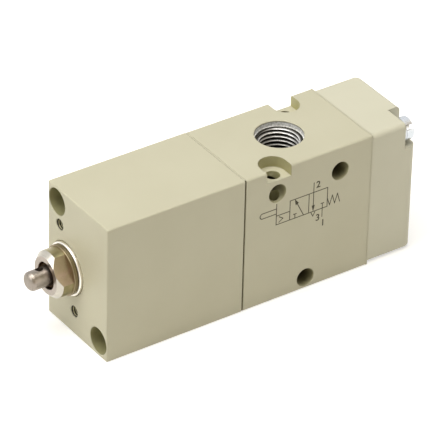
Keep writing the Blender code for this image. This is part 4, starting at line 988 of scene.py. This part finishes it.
def plunger_outline(vent_end):
    tip = PLUNGER_LOW.x
    seal_low, seal_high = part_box("plunger_seal")
    seal_x = (seal_low.x + seal_high.x) / 2
    groove_half = PLUNGER_SEAL_CORE + FACE_GAP
    groove_floor = PLUNGER_RADIUS - 2 * PLUNGER_SEAL_CORE
    collar_front = FACE_X + GUIDE_STEP + SEAT_GAP
    collar_back = collar_front + PLUNGER_COLLAR_LENGTH
    outline = [
        (vent_end, 0.0), (vent_end, VENT_RADIUS), (PLUNGER_HIGH.x, VENT_RADIUS),
        (PLUNGER_HIGH.x, PLUNGER_STEM_RADIUS), (collar_back, PLUNGER_STEM_RADIUS),
        (collar_back, PLUNGER_COLLAR_RADIUS), (collar_front, PLUNGER_COLLAR_RADIUS),
        (collar_front, PLUNGER_RADIUS), (seal_x + groove_half, PLUNGER_RADIUS),
        (seal_x + groove_half, groove_floor), (seal_x - groove_half, groove_floor),
        (seal_x - groove_half, PLUNGER_RADIUS),
    ]
    for step in range(TIP_STEPS + 1):
        angle = pi / 2 * step / TIP_STEPS
        outline.append((
            tip + PLUNGER_TIP_LENGTH * (1 - sin(angle)),
            PLUNGER_TIP_RADIUS + (PLUNGER_RADIUS - PLUNGER_TIP_RADIUS) * cos(angle),
        ))
    return outline + [(tip, 0.0)]


def build_plunger():
    vent_end = PLUNGER_LOW.x + VENT_HOLE_FROM_TIP
    item = turned("plunger_pin", plunger_outline(vent_end), PLUNGER_SPOT, GROUND_STEEL)
    reach = PLUNGER_RADIUS + OVERRUN
    vent = hole(VENT_HOLE_RADIUS, -reach, reach, (vent_end, 0.0), axis="Z")
    cut(item, [turn_about(vent, PLUNGER_SPOT, VENT_HOLE_TURN)])
    finish_piece(item, "ground_steel", "plunger", "plunger")


# Screws and their washers

def screw_outline(tip, head_back, head_end):
    """From the tip to the middle of the head's end, which lies either way along X."""
    hand = copysign(1.0, tip - head_end)
    edge = hand * SCREW_EDGE
    return [
        (tip, 0.0), (tip, SCREW_RADIUS - SCREW_EDGE), (tip - edge, SCREW_RADIUS),
        (head_back, SCREW_RADIUS), (head_back, SCREW_HEAD_RADIUS),
        *arc((head_end + edge, SCREW_HEAD_RADIUS - SCREW_EDGE), SCREW_EDGE, 90.0, 90.0 + hand * 90.0),
        (head_end, 0.0),
    ]


def build_block_screw(number, spot):
    """A socket head screw."""
    low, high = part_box(f"block_screw_{number}")
    outline = screw_outline(high.x, low.x + BLOCK_SCREW_HEAD, low.x)
    item = turned(f"block_screw_cap_{number}", outline, spot, SILVER_ZINC, segments=SMALL)
    corner = HEX_KEY_SIZE / sqrt(3)
    floor, open_end = low.x + HEX_KEY_DEPTH, low.x - OVERRUN
    key = [(floor, 0.0), (floor, corner), (open_end, corner), (open_end, 0.0)]
    cut(item, [turned("key", key, spot, segments=6)])
    finish_piece(item, "silver_zinc_steel", f"block_screw_{number}")


def in_slot(x, y, z, head_end, spot):
    across = (z - spot[1]) * cos(COVER_SLOT_ANGLE) - (y - spot[0]) * sin(COVER_SLOT_ANGLE)
    return abs(across) < COVER_SLOT_WIDTH / 2 + WALL_SLACK and head_end - COVER_SLOT_DEPTH - WALL_SLACK < x


def build_cover_screw(number, spot):
    """A slotted cheese head screw."""
    low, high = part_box(f"cover_screw_{number}")
    outline = screw_outline(low.x, high.x - COVER_SCREW_HEAD, high.x)[::-1]
    item = turned(f"cover_screw_slotted_{number}", outline, spot, SILVER_ZINC)
    reach = SCREW_HEAD_RADIUS + OVERRUN
    slot = box_piece(
        "slot", (high.x - COVER_SLOT_DEPTH, -reach, -COVER_SLOT_WIDTH / 2),
        (high.x + OVERRUN, reach, COVER_SLOT_WIDTH / 2),
    )
    cut(item, [turn_about(slot, spot, COVER_SLOT_ANGLE)])
    mark(item, SHADED_SILVER, in_slot, high.x, spot)
    finish_piece(item, "silver_zinc_steel", f"cover_screw_{number}")


def build_screw_washer(node):
    low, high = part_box(node)
    radius = (high.z - low.z) / 2
    outline = [
        (high.x, SCREW_HOLE_RADIUS), (high.x, radius - FINE_EDGE), (high.x - FINE_EDGE, radius),
        (low.x + FINE_EDGE, radius), (low.x, radius - FINE_EDGE), (low.x, SCREW_HOLE_RADIUS),
    ]
    item = turned(f"{node}_ring", outline, spot_of(node), SILVER_ZINC, True, SMALL)
    finish_piece(item, "silver_zinc_steel", node)


def build_screws():
    for number, spot in enumerate(BLOCK_SCREW_SPOTS, 1):
        build_block_screw(number, spot)
    for number, spot in enumerate(COVER_SCREW_SPOTS, 1):
        build_cover_screw(number, spot)
    for name in ("block_screw_washer", "cover_screw_washer"):
        build_screw_washer(f"{name}_1")
        build_screw_washer(f"{name}_2")


# Springs

def coil_line(node, wire, turns):
    """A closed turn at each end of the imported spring's box and open turns between them."""
    low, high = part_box(node)
    y, z = spot_of(node)
    mean_radius = (high.z - low.z - wire) / 2
    closed_pitch = wire + FACE_GAP
    open_pitch = (high.x - low.x - wire - 2 * closed_pitch) / (turns - 2)
    curve = bpy.data.curves.new(node, "CURVE")
    curve.dimensions = "3D"
    curve.bevel_depth = wire / 2
    curve.bevel_resolution = COIL_ROUNDNESS
    curve.use_fill_caps = True
    spline = curve.splines.new("POLY")
    spline.points.add(turns * COIL_POINTS_PER_TURN)
    for index, point in enumerate(spline.points):
        turn = index / COIL_POINTS_PER_TURN
        closed = min(turn, 1.0) + max(turn - (turns - 1), 0.0)
        opened = min(max(turn - 1.0, 0.0), turns - 2)
        x = low.x + wire / 2 + closed * closed_pitch + opened * open_pitch
        angle = tau * turn
        point.co = (x, y + mean_radius * cos(angle), z + mean_radius * sin(angle), 1.0)
    return link_object(f"{node}_line", curve)


def build_spring(node, wire, turns):
    """A coil of round wire with closed end turns, standing for the imported spring."""
    line = coil_line(node, wire, turns)
    mesh = evaluated_mesh(line)
    bpy.data.objects.remove(line)
    bm = bmesh.new()
    bm.from_mesh(mesh)
    bmesh.ops.remove_doubles(bm, verts=bm.verts, dist=WELD)
    bm.to_mesh(mesh)
    bm.free()
    shade(mesh, 50.0)
    item = link_object(f"{node}_coil", mesh, SPRING_STEEL)
    stand_for(item, "spring_steel", node)
    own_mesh(item)


# Printed scheme on the near side. Places are in mm from the plunger-end face and from the base.

SCHEME_LINE = 0.27 * MM
INK_THICKNESS = 0.02 * MM
DIGIT_WEIGHT = 0.055 * MM
DIGIT_HEIGHT_SHARE = 0.70
BAR_END_STEPS = 12


def scheme_strokes():
    """Open lines of the three-port scheme."""
    left, divider, right = 61.15, 67.7, 74.1
    low, high = 25.6, 32.0
    bar_low, bar_high, bar_start = 29.3, 31.0, 51.75
    pilot_x, pilot_mid = 56.5, 28.55
    outlet_x, supply_x, blocked_x = 69.25, 72.45, 62.95
    middle, half = (bar_low + bar_high) / 2, (bar_high - bar_low) / 2
    bar_end = arc((bar_start, middle), half, 90.0, 270.0, BAR_END_STEPS)
    spring = [(right + 0.88 * step, 25.8 if step % 2 else 28.8) for step in range(1, 6)]
    return [
        [(left, low), (left, high), (right, high), (right, low), (left, low)],
        [(divider, low), (divider, high)],
        [(pilot_x, 32.5), (pilot_x, low), (left, low)], [(pilot_x, pilot_mid), (left, pilot_mid)],
        [(57.5, 28.0), (58.8, 27.1), (57.5, 26.2)], [(65.95, low), (63.3, 30.9)],
        [(blocked_x, low), (blocked_x, 27.0)], [(blocked_x - 0.45, 27.0), (blocked_x + 0.45, 27.0)],
        [(outlet_x, 35.2), (outlet_x, 27.0)],
        [(outlet_x - 0.65, 25.3), (outlet_x, 24.0), (outlet_x + 0.65, 25.3)],
        [(supply_x, 27.3), (supply_x, 22.8)], [(supply_x - 0.45, 27.3), (supply_x + 0.45, 27.3)],
        [(pilot_x, bar_high), *bar_end, (pilot_x, bar_low)],
        [(right, 28.4), *spring],
    ]


# Filled arrow heads: tip, middle of the base, and half the base's width
SCHEME_HEADS = [((62.7, 32.1), (63.65, 30.1), 0.6), ((69.25, 25.5), (69.25, 27.7), 0.55)]


def on_near_side(x, z):
    return Vector((FACE_X + x * MM, z * MM))


def prism(bm, corners):
    """A thin plate of ink on the near side from its corners in (x, z)."""
    outer = [bm.verts.new((x, -HALF_WIDTH - INK_THICKNESS, z)) for x, z in corners]
    inner = [bm.verts.new((x, -HALF_WIDTH + INK_THICKNESS, z)) for x, z in corners]
    bm.faces.new(outer)
    bm.faces.new(inner[::-1])
    for index in range(len(corners)):
        bm.faces.new((outer[index - 1], inner[index - 1], inner[index], outer[index]))


def build_scheme():
    bm = bmesh.new()
    half = SCHEME_LINE / 2
    for stroke in scheme_strokes():
        points = [on_near_side(x, z) for x, z in stroke]
        for first, second in zip(points, points[1:]):
            along = (second - first).normalized()
            across = Vector((-along.y, along.x)) * half
            start, end = first - along * half, second + along * half
            prism(bm, [start - across, end - across, end + across, start + across])
    for tip, base, reach in SCHEME_HEADS:
        tip, base = on_near_side(*tip), on_near_side(*base)
        along = (tip - base).normalized()
        across = Vector((-along.y, along.x)) * reach * MM
        prism(bm, [tip, base + across, base - across])
    bmesh.ops.recalc_face_normals(bm, faces=bm.faces)
    stand_for(link_object("printed_scheme", mesh_of(bm, "printed_scheme"), INK), "black_rubber")


def build_digit(digit, x, z, height):
    """A plain printed digit with its lower left corner at (x, z)."""
    text = bpy.data.curves.new(f"digit_{digit}", "FONT")
    text.body = digit
    text.size = height / DIGIT_HEIGHT_SHARE * MM
    text.extrude = INK_THICKNESS
    text.offset = DIGIT_WEIGHT
    line = link_object(f"digit_{digit}_text", text)
    item = link_object(f"printed_digit_{digit}", evaluated_mesh(line), INK)
    bpy.data.objects.remove(line)
    item.rotation_euler = (radians(90), 0.0, 0.0)
    item.location = (FACE_X + x * MM, -HALF_WIDTH, z * MM)
    stand_for(item, "black_rubber")


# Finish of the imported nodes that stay

def finish_kept_nodes():
    for row in frame["record"]["subparts"]:
        node = frame["nodes"][row["node"]]
        node.data.materials.clear()
        node.data.materials.append(SLOT_FINISH[row["material_slot"]])


# Studio

CAMERA_PLACE = (-536.9 * MM, -759.5 * MM, 643.7 * MM)
CAMERA_AZIMUTH = radians(54.66)
CAMERA_ELEVATION = radians(33.735)
CAMERA_ROLL = radians(1.54)
CAMERA_LENS_MM = 324.4
CAMERA_REACH = 10.0

# Each lamp's place, power in watts and size
LAMPS = {
    "top_lamp": ((-0.12, -0.06, 1.20), 11.8, 0.9),
    "left_lamp": ((-0.95, 0.20, 0.75), 6.8, 0.9),
    "side_lamp": ((0.45, -1.05, 0.35), 2.1, 0.7),
}

MIRROR_RAYS = ("Is Glossy Ray", "Is Transmission Ray")
WORLD_LIGHT = 0.1
ROOM_SIDE = (0.20, -0.93, 0.30)
ROOM_TONE = (0.80, 0.69, 0.54)
FLOOR_HALF_SIZE = 3.0
FLOOR_TONE = (0.80, 0.78, 0.735)
FLOOR_GLOW = 0.5
FLOOR_MIRRORED_GLOW = 0.55
FLOOR_FADE_START = 0.15
FLOOR_FADE_END = 0.6


def build_camera():
    data = bpy.data.cameras.new("camera")
    data.lens = CAMERA_LENS_MM
    data.clip_end = CAMERA_REACH
    camera = link_object("camera", data)
    level = cos(CAMERA_ELEVATION)
    forward = Vector((level * cos(CAMERA_AZIMUTH), level * sin(CAMERA_AZIMUTH), -sin(CAMERA_ELEVATION)))
    upright = forward.to_track_quat("-Z", "Y").to_matrix()
    camera.rotation_euler = (upright @ Matrix.Rotation(CAMERA_ROLL, 3, "Z")).to_euler()
    camera.location = CAMERA_PLACE
    bpy.context.scene.camera = camera


def build_lamps():
    target = Vector((0.0, 0.0, SPOOL_Z))
    for name, (place, power, size) in LAMPS.items():
        data = bpy.data.lights.new(name, "AREA")
        data.energy = power
        data.size = size
        lamp = link_object(name, data)
        lamp.location = place
        lamp.rotation_euler = (target - lamp.location).to_track_quat("-Z", "Y").to_euler()


def build_world():
    """A white backdrop that lights the object a little; metal also mirrors the dim room in front of it."""
    world = bpy.data.worlds.new("studio")
    bpy.context.scene.world = world
    world.use_nodes = True
    tree = world.node_tree
    direction = add_node(tree, "TexCoord").outputs["Generated"]
    facing = spread(measure("DOT_PRODUCT", direction, ROOM_SIDE), 0.5, 1.0)
    room = ramp(facing, [(0.5, WHITE), (0.85, ROOM_TONE)])
    rays = add_node(tree, "LightPath").outputs
    seen = rays["Is Camera Ray"]
    colour = blend(seen, room, (*WHITE, 1.0))
    for name in MIRROR_RAYS:
        seen = calc("MAXIMUM", seen, rays[name])
    background = tree.nodes["Background"].inputs
    tree.links.new(colour, background["Color"])
    tree.links.new(spread(seen, WORLD_LIGHT, 1.0), background["Strength"])


def floor_material():
    """Pale, and white to the camera far from the object; near it, the object's shadow shows."""
    material, place = new_material("pale_floor", 0.9, 0.0, 0.0)
    tree = material.node_tree
    shader = tree.nodes["Principled BSDF"].inputs
    shader["Base Color"].default_value = (*FLOOR_TONE, 1.0)
    rays = add_node(tree, "LightPath").outputs
    away = measure("LENGTH", place)
    white = spread(away, FLOOR_GLOW, 1.0, FLOOR_FADE_START, FLOOR_FADE_END)
    glow = calc("MULTIPLY", rays["Is Camera Ray"], white)
    for name in MIRROR_RAYS:
        glow = calc("MAXIMUM", glow, calc("MULTIPLY", rays[name], FLOOR_MIRRORED_GLOW))
    tree.links.new(glow, shader["Emission Strength"])
    return material


def build_floor():
    bm = bmesh.new()
    bmesh.ops.create_grid(bm, x_segments=1, y_segments=1, size=FLOOR_HALF_SIZE)
    floor = link_object("floor", mesh_of(bm, "floor"), floor_material())


def main():
    build_camera()
    build_world()
    build_floor()
    build_lamps()
    finish_kept_nodes()
    build_plunger_block()
    build_valve_body()
    build_end_cover()
    build_gasket("block_gasket", BLOCK_HIGH.x, BODY_LOW.x, BLOCK_SCREW_SPOTS, GASKET_INSET, FIBRE)
    build_gasket("cover_gasket", BODY_HIGH.x, COVER_LOW.x, COVER_SCREW_SPOTS, PAINTED_INSET, PAINT)
    build_guide()
    build_washer()
    build_wiper()
    build_plunger()
    build_screws()
    build_spring("plunger_spring", 0.8 * MM, 6)
    build_spring("pilot_spring", 0.5 * MM, 4)
    build_spring("return_spring", 1.0 * MM, 6)
    build_scheme()
    build_digit("2", 70.0, 33.2, 2.15)
    build_digit("3", 70.2, 21.95, 2.15)
    build_digit("1", 72.1, 19.6, 2.1)
    bpy.context.scene.view_settings.view_transform = "Standard"


main()
